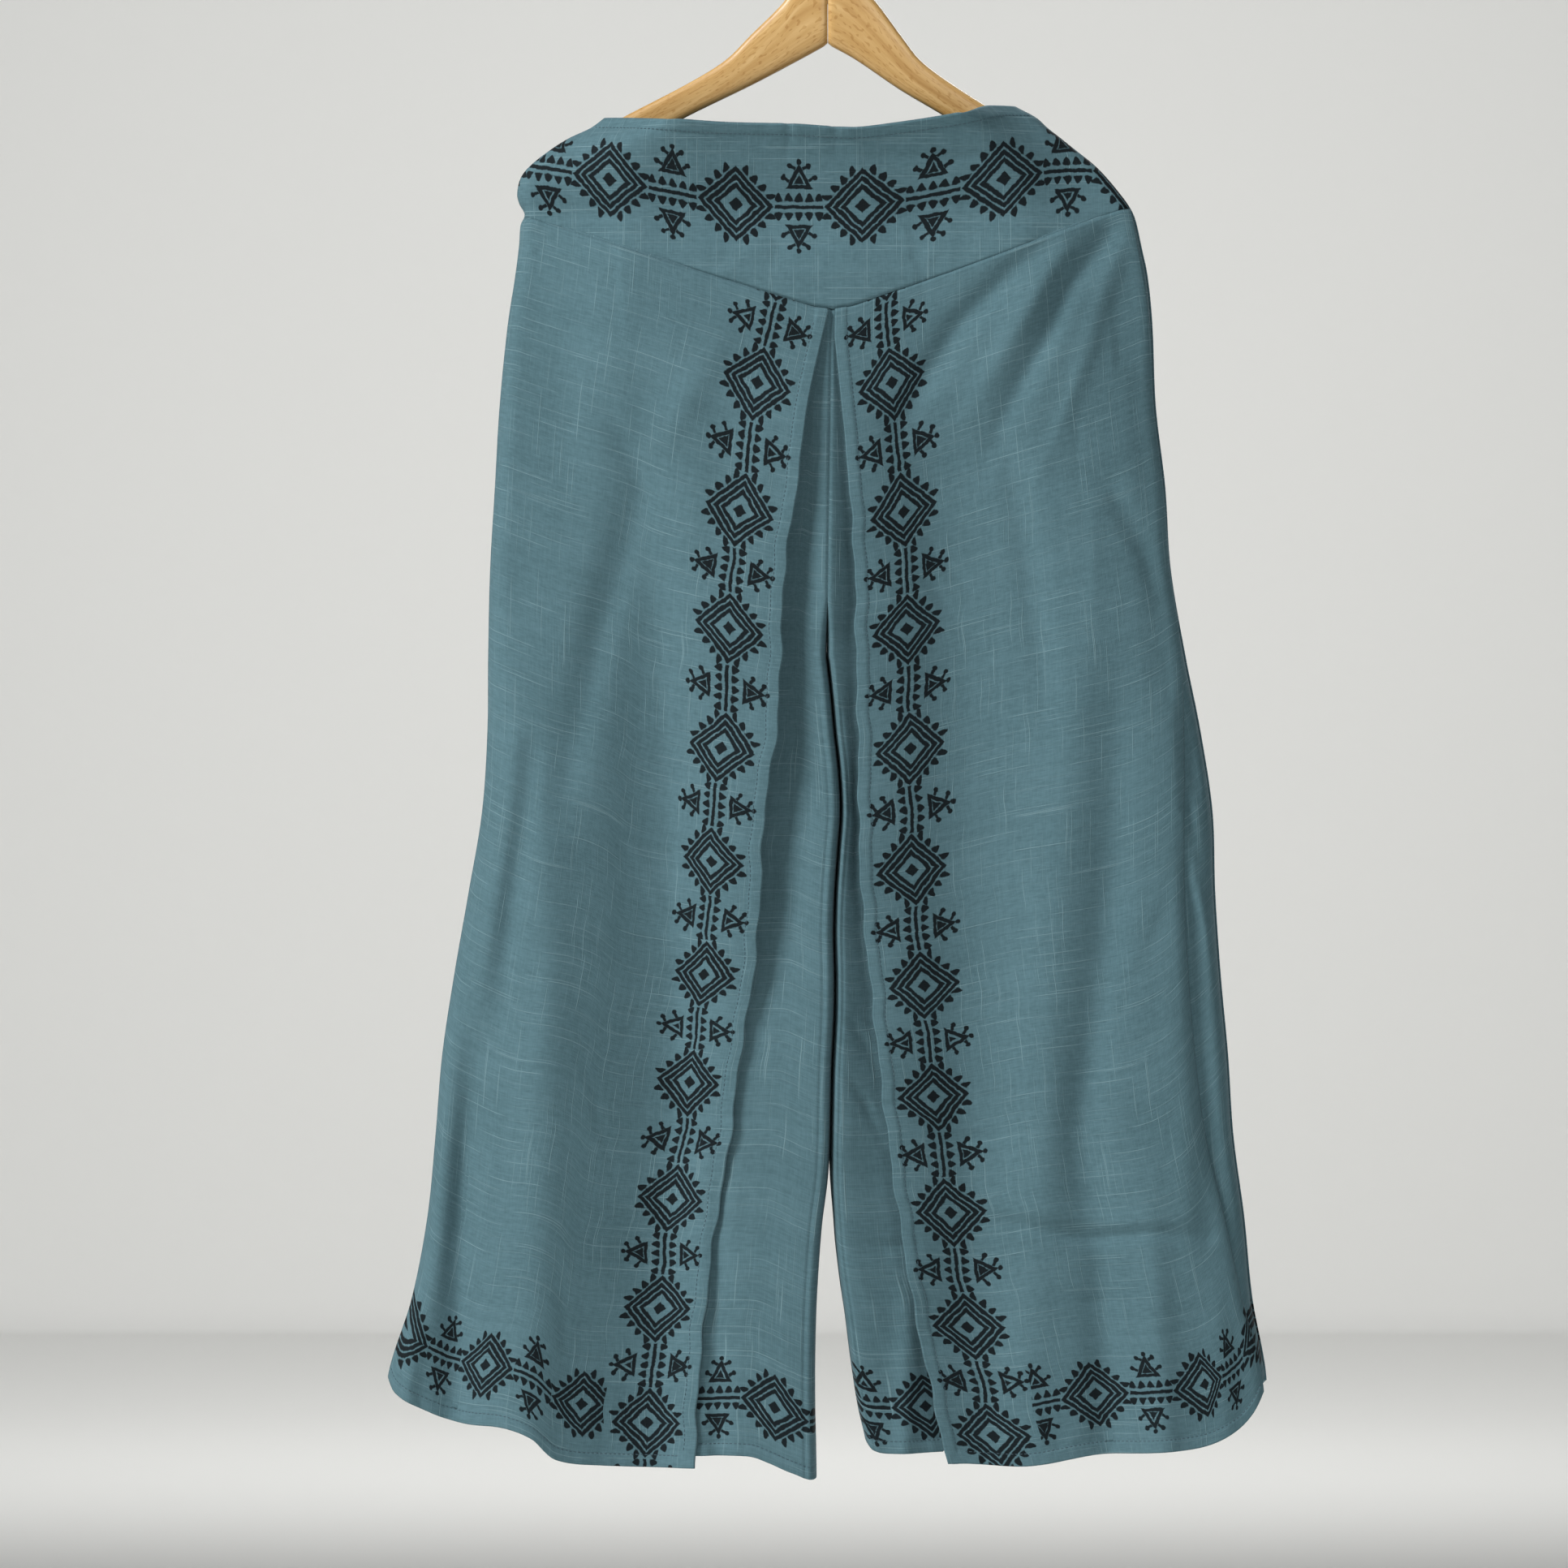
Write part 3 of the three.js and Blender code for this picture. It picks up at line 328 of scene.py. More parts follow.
def smallCreases(seed, count, xRange, downRange, lean):
    # Short soft creases with seeded places, which cloth picks up when it is worn and hung: each goes up
    # and down from its place by its length, along its slope
    random = np.random.default_rng(seed)
    folds = []
    for _ in range(count):
        x = random.uniform(*xRange)
        down = random.uniform(*downRange)
        length = random.uniform(*creases["length"])
        slope = random.normal(0, lean)
        rise = random.uniform(*creases["rise"]) * random.choice([-1, 1])
        width = random.uniform(*creases["width"])
        alongDown, alongX = length * math.cos(slope), length * math.sin(slope)
        atEnds = rise * creases["endShare"]
        points = [(down - alongDown, x - alongX, atEnds), (down, x, rise),
                  (down + alongDown, x + alongX, atEnds)]
        folds.append((width, width * creases["softSide"], points))
    return folds


def bodyDepth(side, face, x, down, out=0.0):
    # How far the cloth stands off the plane of the side seams: thin beside the side seam and full
    # further in, turned round at the outer side and, below the crotch, at the inner one
    reach = reachAt(side, down, out)
    lean = (reachAt(side, down + 1) - reachAt(side, down - 1)) / 2
    fromSide = np.maximum(reach - side * x, 0)
    square = fromSide / np.hypot(1, lean)
    isFrontRight = face == "front" and side > 0
    thin = readTable(depths, "down", "sideFrontRight" if isFrontRight else "side", down)
    flat = readTable(depths, "down", face, down)
    full = thin + (flat - thin) * smoothStep(0, depths["fullFrom"], fromSide / reach)
    fromInner = np.maximum(side * (x - innerAt(side, down, face)), 0)
    legs = smoothStep(cut["crotchTop"], cut["crotch"], down)
    inside = innerSides[face][sideName(side)]
    inner = 1 + (turned(fromInner, inside["wide"], inside["bend"]) - 1) * legs
    calm = smoothStep(0, 24, square) * (1 + (smoothStep(0, 20, fromInner) - 1) * legs)
    bend = depths["bendFrontRight"] if isFrontRight else depths["bend"]
    turn = turned(square, readTable(depths, "down", "round", down), bend)
    return full * turn * inner + calm * foldRise(foldSets[face], x, down)


def sunk(side, x, down):
    # How far a leg sinks behind the overlay: full depth at the free edge, fading behind the overlay,
    # and from the edge to the inner side changing to its share at the seam
    depth = readTable(recess, "down", sideName(side), down)
    atSeam = readTable(recess, "down", f"{sideName(side)}AtSeam", down)
    edge = edgeAt(side, down)
    fromEdge = side * (x - edge)
    covered = depth * (1 - smoothStep(0, cut["recessReach"], fromEdge))
    openWidth = np.maximum(side * (edge - innerAt(side, down)), cut["edgeStart"])
    t = smoothStep(0, 1, -fromEdge / openWidth)
    return np.where(fromEdge >= 0, covered, depth + depth * (atSeam - 1) * t)


def seamDown(side, x):
    # The front V: a straight line from its point to the side seam, with the point rounded off
    reach = reachAt(side, cut["seamLevel"])
    t = np.clip(np.abs(x - cut["centreTopX"]) / (reach - side * cut["centreTopX"]), 0, 1)
    end = cut["seamSides"][sideName(side)]
    soft = 2.2 * np.exp(-((x - cut["centreTopX"]) / 9) ** 2)
    return cut["yokePoint"] + (end - cut["yokePoint"]) * t - soft


def backSeamDown(side, x):
    # The back's seam: a parabola from its lowest point to the side seam
    t = np.clip(np.abs(x) / reachAt(side, cut["seamLevel"]), 0, 1)
    end = cut["seamSides"][sideName(side)]
    return cut["backSeamCentre"] + (end - cut["backSeamCentre"]) * t * t


def seamDip(distance, depth=1.9, width=1.3):
    # Sewn cloth rounds down into its seam
    return -depth * np.exp(-((distance / width) ** 2))


foldSets = {
    "front": frontFolds + smallCreases(4, 46, (-300, 300), (330, 1180), 0.35),
    "back": backFolds + smallCreases(9, 46, (-300, 300), (300, 1180), 0.35),
    "yoke": yokeFolds + smallCreases(15, 14, (-200, 200), (200, 300), 0.6),
}
print("scene: tables read")


# Grids and meshes

def plan(startOffsets, endOffsets, count):
    # Columns (or rows) between two edges: fixed distances beside each edge and even shares between.
    # A place is start * startShare + end * endShare + direction * shift.
    first, last = startOffsets[-1], endOffsets[-1]
    shares = np.linspace(0, 1, count + 2)[1:-1]
    starts = np.array(startOffsets, float)
    ends = -np.array(endOffsets[::-1], float)
    endShare = np.concatenate([np.zeros(len(starts)), shares, np.ones(len(ends))])
    middle = first * (1 - shares) - last * shares
    return {"endShare": endShare, "shift": np.concatenate([starts, middle, ends])}


def place(layout, start, end, direction, axis):
    # The planned rows (axis 0) or columns (axis 1) between two edges that are given as arrays
    shape = (-1, 1) if axis == 0 else (1, -1)
    share = layout["endShare"].reshape(shape)
    return start * (1 - share) + end * share + direction * layout["shift"].reshape(shape)


def quarterOffsets(radius, count):
    # Distances from a turned side that are even round its quarter circle
    angles = np.linspace(0, math.pi / 2, count)
    return list(radius * (1 - np.cos(angles)))


def gridNormals(points):
    # Cross product of the grid's two directions, each from the neighbours on either side
    normals = np.cross(np.gradient(points, axis=1), np.gradient(points, axis=0))
    return normals / np.maximum(np.linalg.norm(normals, axis=2, keepdims=True), 1e-9)


def arcAlong(points, axis):
    # Length of cloth along the rows (axis 1) or down the columns (axis 0)
    steps = np.linalg.norm(np.diff(points, axis=axis), axis=2)
    start = np.zeros_like(np.take(steps, [0], axis=axis))
    return np.concatenate([start, np.cumsum(steps, axis=axis)], axis=axis)


def makeMesh(name, verts, quads, maps, material):
    # Quads in millimetres become a mesh in metres with its UV maps, which rides on the body
    mesh = bpy.data.meshes.new(name)
    quads = np.asarray(quads, np.int32)
    verts = np.asarray(verts, float) * metresPerMm
    corners = verts[quads]
    centres = corners.mean(axis=1)
    areas = np.cross(corners[:, 2] - corners[:, 0], corners[:, 3] - corners[:, 1])
    if (areas * centres).sum() < 0:  # the faces would point inwards
        quads = quads[:, ::-1]
    mesh.vertices.add(len(verts))
    mesh.vertices.foreach_set("co", verts.ravel())
    mesh.loops.add(quads.size)
    mesh.loops.foreach_set("vertex_index", quads.ravel())
    mesh.polygons.add(len(quads))
    mesh.polygons.foreach_set("loop_start", np.arange(0, quads.size, 4, dtype=np.int32))
    mesh.polygons.foreach_set("loop_total", np.full(len(quads), 4, np.int32))
    mesh.polygons.foreach_set("use_smooth", np.ones(len(quads), bool))
    for mapName, places in maps.items():
        layer = mesh.uv_layers.new(name=mapName)
        layer.data.foreach_set("uv", np.asarray(places, np.float32)[quads.ravel()].ravel())
    mesh.update(calc_edges=True)
    mesh.validate()
    piece = bpy.data.objects.new(name, mesh)
    bpy.context.scene.collection.objects.link(piece)
    piece.data.materials.append(material)
    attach(piece, body)
    return piece


def gridQuads(rows, columns, offset=0, closedColumns=False):
    # Quads (r, c), (r + 1, c), (r + 1, c + 1), (r, c + 1), with the last column joined to the first
    # where the columns are closed
    r = np.arange(rows - 1)[:, None]
    c = np.arange(columns if closedColumns else columns - 1)[None, :]
    following = (c + 1) % columns
    lower = (r + 1) * columns
    quads = [r * columns + c, lower + c, lower + following, r * columns + following]
    return np.stack([q + offset + 0 * (r + c) for q in quads], axis=-1).reshape(-1, 4)


def closedTube(points):
    # A grid of rings, closed at each end by quads that share the middle of the ring
    rings, around = points.shape[:2]
    middles = [points[0].mean(axis=0), points[-1].mean(axis=0)]
    verts = np.concatenate([points.reshape(-1, 3), middles])
    one = np.arange(around)[::2]
    two, three = (one + 1) % around, (one + 2) % around
    base, middle = (rings - 1) * around, rings * around
    first = np.stack([one, two, three, 0 * one + middle], axis=-1)
    last = np.stack([three + base, two + base, one + base, 0 * one + middle + 1], axis=-1)
    return verts, np.concatenate([gridQuads(rings, around, 0, True), first, last])


def makeWall(name, points, thickness, maps, material):
    # A closed wall of cloth: the outer grid, the same grid moved in by the thickness, and a rim
    rows, columns = points.shape[:2]
    normals = gridNormals(points)
    outward = -1 if points[..., 1].mean() < 0 else 1
    if normals[..., 1].mean() * outward < 0:
        normals = -normals
    inner = points - normals * np.broadcast_to(thickness, (rows, columns))[..., None]
    count = rows * columns
    verts = np.concatenate([points.reshape(-1, 3), inner.reshape(-1, 3)])
    ring = np.concatenate([
        np.arange(columns),
        np.arange(1, rows) * columns + columns - 1,
        (rows - 1) * columns + np.arange(columns - 2, -1, -1),
        np.arange(rows - 2, 0, -1) * columns,
    ])
    following = np.roll(ring, -1)
    rim = np.stack([ring, following, following + count, ring + count], axis=-1)
    quads = np.concatenate([gridQuads(rows, columns), gridQuads(rows, columns, count)[:, ::-1], rim])
    doubled = {key: np.tile(value.reshape(-1, 2), (2, 1)) for key, value in maps.items()}
    return makeMesh(name, verts, quads, doubled, material)


def clothPoints(x, depth, down, face):
    # The depth goes out along -Y in front and along +Y behind
    outward = -1 if face == "front" else 1
    return np.stack([x, outward * (depth + cut["clearOfMiddle"]), -down], axis=-1)


def phaseOf(places, centres):
    # Steps the print by one period from each motif's centre to the next, as a hand block does
    period = blockPrint["period"]
    ordered = np.array([centres[0] - period, *centres, centres[-1] + period], float)
    steps = np.arange(-1, len(centres) + 1) * period
    inside = np.interp(places, ordered, steps)
    return inside + np.minimum(places - ordered[0], 0) + np.maximum(places - ordered[-1], 0)


def hemShape(distance, puckerAt):
    # The turned strip stands proud, ends at its stitching and puckers a little between stitches
    strip = cut["hemThick"] * smoothStep(cut["hemStrip"] + 1.2, cut["hemStrip"] - 0.8, distance)
    groove = cut["hemGroove"] * np.exp(-(((distance - cut["hemStrip"]) / 1.1) ** 2))
    pucker = cut["hemPucker"] * np.sin(puckerAt / 2.1) * np.sin(puckerAt / 7.7)
    return strip - groove + pucker * smoothStep(14, 4, distance)


# Colours and finishes

def linearColour(code):
    # sRGB hex to linear light, by the standard curve
    parts = [int(code[i:i + 2], 16) / 255 for i in (1, 3, 5)]
    return [p / 12.92 if p <= 0.04045 else ((p + 0.055) / 1.055) ** 2.4 for p in parts] + [1.0]


def newMaterial(name):
    # An empty material and its node tree
    material = bpy.data.materials.new(name)
    material.use_nodes = True
    material.node_tree.nodes.clear()
    return material, material.node_tree


def addNode(tree, kind, settings=None, inputs=None):
    # Adds a node, sets its options, and links or sets its inputs
    made = tree.nodes.new(kind)
    for key, value in (settings or {}).items():
        setattr(made, key, value)
    for key, value in (inputs or {}).items():
        if isinstance(value, bpy.types.NodeSocket):
            tree.links.new(value, made.inputs[key])
        else:
            made.inputs[key].default_value = value
    return made


def addFormula(tree, steps, known):
    # Each step is (result, operation, first, second, third): a number, or the name of a result
    for result, operation, *terms in steps:
        sources = {i: known[term] if isinstance(term, str) else term for i, term in enumerate(terms)}
        made = addNode(tree, "ShaderNodeMath", {"operation": operation}, sources)
        known[result] = made.outputs[0]
    return known


# The block print, charted by hand in millimetres: "along" runs down a border, and "across" goes out
# from its middle
blockPrint = {
    "period": 85.5,
    "diamondLong": 24.8,  # half diagonals
    "diamondWide": 23.5,
    "rings": (0.96, 0.74, 0.52),  # as shares of the diamond
    "core": 0.2,
    "lineHalf": 1.4,
    "dropPitch": 7.8,
    "dropAt": 1.25,
    "dropRadius": 2.4,
    "dropTaper": 0.24,  # narrower by this much for each millimetre outwards
    "dropSquash": 0.86,
    "linkHalf": 16.4,
    "barHalf": 1.25,
    "beadPitch": 6.9,
    "beadAt": 6.1,
    "crownBase": 11.6,
    "crownHalf": 9.4,
    "crownHeight": 16.4,
    "heartLeast": 2.9,  # the crown's filled middle stays this far inside it
    "heartMore": 1.9,  # and up to this much further, which differs from one crown to the next
    "rayLength": 4.5,
    "rayHalf": 1.1,
    "rayApart": 4.4,  # from the middle between a side's two rays
    "rayShift": 0.5,
    "knobRadius": 1.8,
    "tipKnob": 0.8,  # above the crown's tip
}


def printSteps(p):
    # Distance to the ink in millimetres, below 0 inside it: the least of the distances to a diamond's
    # rings, |along| / long + |across| / wide, and to drops, a bar, a triangle and the triangle's rays
    slant = 1 / math.hypot(1 / p["diamondLong"], 1 / p["diamondWide"])
    dropSide = math.hypot(p["diamondLong"], p["diamondWide"]) * p["dropAt"]
    crownSide = math.hypot(p["crownHalf"], p["crownHeight"])
    up, aside = p["crownHeight"] / crownSide, p["crownHalf"] / crownSide
    rings = []
    for i, ring in enumerate(p["rings"]):
        rings += [
            ("ring", "SUBTRACT", "share", ring),
            ("ring", "ABSOLUTE", "ring"),
            ("rings", "MINIMUM", "rings" if i else "ring", "ring"),
        ]
    # A drop is a dot that tapers outwards, and its place is already in dropA and dropB
    drop = [
        ("taper", "MULTIPLY_ADD", "dropB", p["dropTaper"], 1.05),
        ("taper", "MAXIMUM", "taper", 0.5),
        ("dropA", "MULTIPLY", "dropA", "taper"),
        ("dropA", "MULTIPLY", "dropA", "dropA"),
        ("dropB", "MULTIPLY", "dropB", p["dropSquash"]),
        ("dropB", "MULTIPLY_ADD", "dropB", "dropB", "dropA"),
        ("drop", "SQRT", "dropB"),
        ("drop", "SUBTRACT", "drop", p["dropRadius"]),
    ]
    return [
        # The rings and core of the diamond
        ("a", "PINGPONG", "along", p["period"] / 2),
        ("b", "ABSOLUTE", "across"),
        ("aPart", "DIVIDE", "a", p["diamondLong"]),
        ("bPart", "DIVIDE", "b", p["diamondWide"]),
        ("share", "ADD", "aPart", "bPart"),
        *rings,
        ("rings", "MULTIPLY_ADD", "rings", slant, -p["lineHalf"]),
        ("core", "SUBTRACT", "share", p["core"]),
        ("core", "MULTIPLY", "core", slant),
        ("ink", "MINIMUM", "rings", "core"),
        # Four drops along each side of the diamond, pointed outwards
        ("place", "DIVIDE", "bPart", "share"),
        ("place", "MULTIPLY_ADD", "place", dropSide / p["dropPitch"], 2 - dropSide / 2 / p["dropPitch"]),
        ("nearest", "FLOOR", "place"),
        ("nearest", "MAXIMUM", "nearest", 0.0),
        ("nearest", "MINIMUM", "nearest", 3.0),
        ("nearest", "ADD", "nearest", 0.5),
        ("dropA", "SUBTRACT", "place", "nearest"),
        ("dropA", "MULTIPLY", "dropA", p["dropPitch"]),
        ("dropB", "MULTIPLY_ADD", "share", slant, -p["dropAt"] * slant),
        *drop,
        ("ink", "MINIMUM", "ink", "drop"),
        # The bar between two diamonds, with a row of drops on each side
        ("g", "SUBTRACT", p["period"] / 2, "a"),
        ("past", "SUBTRACT", "g", p["linkHalf"]),
        ("bar", "SUBTRACT", "b", p["barHalf"]),
        ("bar", "MAXIMUM", "bar", "past"),
        ("ink", "MINIMUM", "ink", "bar"),
        ("dropA", "PINGPONG", "g", p["beadPitch"] / 2),
        ("dropB", "SUBTRACT", "b", p["beadAt"]),
        *drop,
        ("drop", "MAXIMUM", "drop", "past"),
        ("ink", "MINIMUM", "ink", "drop"),
        # The crown, a triangle: "up" runs along its side and "out" stands off it
        ("rise", "SUBTRACT", "b", p["crownBase"]),
        ("up", "SUBTRACT", p["crownHalf"], "g"),
        ("up", "MULTIPLY", "up", aside),
        ("up", "MULTIPLY_ADD", "rise", up, "up"),
        ("out", "SUBTRACT", "g", p["crownHalf"]),
        ("out", "MULTIPLY", "out", up),
        ("out", "MULTIPLY_ADD", "rise", aside, "out"),
        ("line", "ADD", "out", p["lineHalf"]),
        ("line", "ABSOLUTE", "line"),
        ("line", "SUBTRACT", "line", p["lineHalf"]),
        ("foot", "SUBTRACT", "rise", p["barHalf"]),
        ("foot", "ABSOLUTE", "foot"),
        ("foot", "SUBTRACT", "foot", p["barHalf"]),
        ("heart", "ADD", "out", "inset"),
        ("heartFoot", "SUBTRACT", p["heartLeast"], "rise"),
        ("heart", "MAXIMUM", "heart", "heartFoot"),
        ("crown", "MINIMUM", "line", "foot"),
        ("crown", "MINIMUM", "crown", "heart"),
        ("crown", "MAXIMUM", "crown", "out"),
        ("below", "MULTIPLY", "rise", -1.0),
        ("crown", "MAXIMUM", "crown", "below"),
        ("ink", "MINIMUM", "ink", "crown"),
        # Two knobbed rays stand out from each side of the crown, and one knob from its tip
        ("off", "SUBTRACT", "up", crownSide / 2 + p["rayShift"]),
        ("off", "ABSOLUTE", "off"),
        ("off", "SUBTRACT", "off", p["rayApart"]),
        ("off", "ABSOLUTE", "off"),
        ("ray", "SUBTRACT", "off", p["rayHalf"]),
        ("inside", "MULTIPLY", "out", -1.0),
        ("ray", "MAXIMUM", "ray", "inside"),
        ("beyond", "SUBTRACT", "out", p["rayLength"]),
        ("ray", "MAXIMUM", "ray", "beyond"),
        ("off", "MULTIPLY", "off", "off"),
        ("beyond", "MULTIPLY_ADD", "beyond", "beyond", "off"),
        ("knob", "SQRT", "beyond"),
        ("knob", "SUBTRACT", "knob", p["knobRadius"]),
        ("ray", "MINIMUM", "ray", "knob"),
        ("tip", "SUBTRACT", "rise", p["crownHeight"] + p["tipKnob"]),
        ("tip", "MULTIPLY", "tip", "tip"),
        ("tip", "MULTIPLY_ADD", "g", "g", "tip"),
        ("tip", "SQRT", "tip"),
        ("tip", "SUBTRACT", "tip", p["knobRadius"]),
        ("ray", "MINIMUM", "ray", "tip"),
        ("ink", "MINIMUM", "ink", "ray"),
    ]


def makePrintGroup():
    # The print as a group, from the place along and across a border to the distance to the ink
    tree = bpy.data.node_groups.new("hand block print", "ShaderNodeTree")
    for name in ("Along", "Across"):
        tree.interface.new_socket(name=name, in_out="INPUT", socket_type="NodeSocketFloat")
    tree.interface.new_socket(name="Ink distance", in_out="OUTPUT", socket_type="NodeSocketFloat")
    source = addNode(tree, "NodeGroupInput").outputs
    known = {"along": source["Along"], "across": source["Across"]}
    # How filled each crown is differs: its inset comes from a random number per block and side
    addFormula(tree, [
        ("block", "DIVIDE", "along", blockPrint["period"]),
        ("block", "FLOOR", "block"),
        ("side", "SIGN", "across"),
        ("block", "MULTIPLY_ADD", "side", 0.31, "block"),
    ], known)
    chance = addNode(tree, "ShaderNodeTexWhiteNoise", {"noise_dimensions": "1D"}, {"W": known["block"]})
    known["inset"] = chance.outputs["Value"]
    addFormula(tree, [
        ("inset", "MULTIPLY_ADD", "inset", blockPrint["heartMore"], blockPrint["heartLeast"]),
    ], known)
    addFormula(tree, printSteps(blockPrint), known)
    addNode(tree, "NodeGroupOutput", None, {"Ink distance": known["ink"]})
    return tree


printGroup = makePrintGroup()

cottonLook = {
    "base": "#5b7a83",
    "shade": "#4d6a72",
    "slub": "#84a2a9",
    "ink": "#03060a",
    "inkThin": "#0d161c",
    "roughness": 0.88,
    "inkRoughness": 0.8,
    "yarnPitch": 0.95,  # the real yarns are 0.45 mm apart, which is too fine to show
    "slubLength": 85.0,
    "slubTint": 0.5,
    "slubLeast": 0.25,
    "slubFrom": {"weft": 0.68, "warp": 0.72},  # noise above this is a thick place
    "slubSharp": 9.0,
    "unevenLength": 7.0,
    "weftShare": 0.62,  # share of the crosswise yarns in the tone
    "patchScale": 19.0,  # patches of about 50 mm
    "strayScale": 130.0,
    "gritScale": 420.0,
    "edgeSoftness": 0.28,
    "wobble": 0.8,  # how far the printed lines stray
    "weaveStrength": 0.55,
    "weaveDepth": 0.0004,
}


def printedCotton(name, borders):
    # Slub cotton, plain woven from uneven yarn and printed with a wooden block: matt, with fine
    # crosswise streaks, scattered thicker yarns that catch the light, and slightly patchy black ink.
    look = cottonLook
    material, tree = newMaterial(name)
    cloth = addNode(tree, "ShaderNodeUVMap", {"uv_map": "cloth"}).outputs["UV"]

    at = addNode(tree, "ShaderNodeSeparateXYZ", None, {"Vector": cloth}).outputs
    patch = addNode(tree, "ShaderNodeTexNoise", {"noise_dimensions": "2D"}, {
        "Vector": cloth, "Scale": look["patchScale"], "Detail": 2.0}).outputs["Fac"]
    known = {"acrossAt": at["X"], "downAt": at["Y"], "patch": patch}

    def addYarns(kind, beside, along):
        # Yarn by yarn: n is the yarn's number, so a random number of n shifts the noise along it, and
        # thick places are where that noise is high. The yarn is round, so it fades to its two sides.
        addFormula(tree, [
            ("row", "MULTIPLY", beside, 1000 / look["yarnPitch"]),
            ("n", "FLOOR", "row"),
            ("f", "FRACT", "row"),
        ], known)
        known["chance"] = addNode(tree, "ShaderNodeTexWhiteNoise", {"noise_dimensions": "1D"}, {
            "W": known["n"]}).outputs["Value"]
        addFormula(tree, [
            ("far", "MULTIPLY", "chance", 900.0),
            ("slow", "MULTIPLY_ADD", along, 1000 / look["slubLength"], "far"),
            ("fast", "MULTIPLY_ADD", along, 1000 / look["unevenLength"], "far"),
        ], known)
        for result, source in (("thick", "slow"), ("uneven", "fast")):
            known[result] = addNode(tree, "ShaderNodeTexNoise", {"noise_dimensions": "1D"}, {
                "W": known[source], "Scale": 1.0, "Detail": 0.0}).outputs["Fac"]
        sharp = look["slubSharp"]
        addFormula(tree, [
            ("round", "SUBTRACT", 1.0, "f"),
            ("round", "MULTIPLY", "round", "f"),
            ("round", "MULTIPLY", "round", 4.0),
            ("thick", "MULTIPLY_ADD", "thick", sharp, -sharp * look["slubFrom"][kind]),
            ("thick", "MAXIMUM", "thick", 0.0),
            ("thick", "MINIMUM", "thick", 1.0),
            ("strong", "MULTIPLY_ADD", "chance", 1 - look["slubLeast"], look["slubLeast"]),
            ("thick", "MULTIPLY", "thick", "strong"),
            (f"{kind}Slub", "MULTIPLY", "thick", "round"),
            ("uneven", "MULTIPLY_ADD", "uneven", 0.6, -0.3),
            ("chance", "MULTIPLY_ADD", "chance", 0.3, -0.15),
            (f"{kind}Tone", "ADD", "uneven", "chance"),
            (f"{kind}Round", "MULTIPLY", "round", 0.5),
        ], known)

    addYarns("weft", "downAt", "acrossAt")
    addYarns("warp", "acrossAt", "downAt")
    addFormula(tree, [
        ("slubs", "MAXIMUM", "weftSlub", "warpSlub"),
        ("slubTint", "MULTIPLY", "slubs", look["slubTint"]),
        ("weftPart", "MULTIPLY", "weftTone", look["weftShare"]),
        ("tone", "MULTIPLY_ADD", "warpTone", 1 - look["weftShare"], "weftPart"),
        ("weave", "MAXIMUM", "weftRound", "warpRound"),
        ("tone", "MULTIPLY_ADD", "weave", 0.3, "tone"),
        ("tone", "MULTIPLY_ADD", "patch", 0.35, "tone"),
        ("tone", "ADD", "tone", 0.22),
        ("height", "ADD", "slubs", "weave"),
    ], known)
    ramp = addNode(tree, "ShaderNodeValToRGB", None, {"Fac": known["tone"]})
    ramp.color_ramp.elements[0].position = 0.25
    ramp.color_ramp.elements[0].color = linearColour(look["shade"])
    ramp.color_ramp.elements[1].position = 0.75
    ramp.color_ramp.elements[1].color = linearColour(look["base"])
    tinted = addNode(tree, "ShaderNodeMix", {"data_type": "RGBA"}, {
        0: known["slubTint"], 6: ramp.outputs["Color"], 7: linearColour(look["slub"])}).outputs[2]

    # Printed lines stray a little, and thin out where the block pressed lightly
    stray = addNode(tree, "ShaderNodeTexNoise", {"noise_dimensions": "2D"}, {
        "Vector": cloth, "Scale": look["strayScale"], "Detail": 1.0}).outputs["Color"]
    strayXY = addNode(tree, "ShaderNodeSeparateColor", None, {"Color": stray}).outputs
    grit = addNode(tree, "ShaderNodeTexNoise", {"noise_dimensions": "2D"}, {
        "Vector": cloth, "Scale": look["gritScale"], "Detail": 1.0}).outputs["Fac"]
    known["strayX"], known["strayY"], known["grit"] = strayXY["Red"], strayXY["Green"], grit
    ink = None
    for border in borders:
        uv = addNode(tree, "ShaderNodeUVMap", {"uv_map": border["map"]}).outputs["UV"]
        at = addNode(tree, "ShaderNodeSeparateXYZ", None, {"Vector": uv}).outputs
        known["alongRaw"], known["acrossRaw"] = at["X"], at["Y"]
        wobble = 2 * look["wobble"]
        addFormula(tree, [
            ("along", "MULTIPLY", "alongRaw", 1000.0),
            ("across", "MULTIPLY", "acrossRaw", 1000.0),
            ("along", "MULTIPLY_ADD", "strayX", wobble, "along"),
            ("across", "MULTIPLY_ADD", "strayY", wobble, "across"),
            ("along", "SUBTRACT", "along", wobble / 2),
            ("across", "SUBTRACT", "across", wobble / 2),
        ], known)
        group = addNode(tree, "ShaderNodeGroup", {"node_tree": printGroup}, {
            "Along": known["along"], "Across": known["across"]})
        known["found"] = group.outputs["Ink distance"]
        if "clearOf" in border:
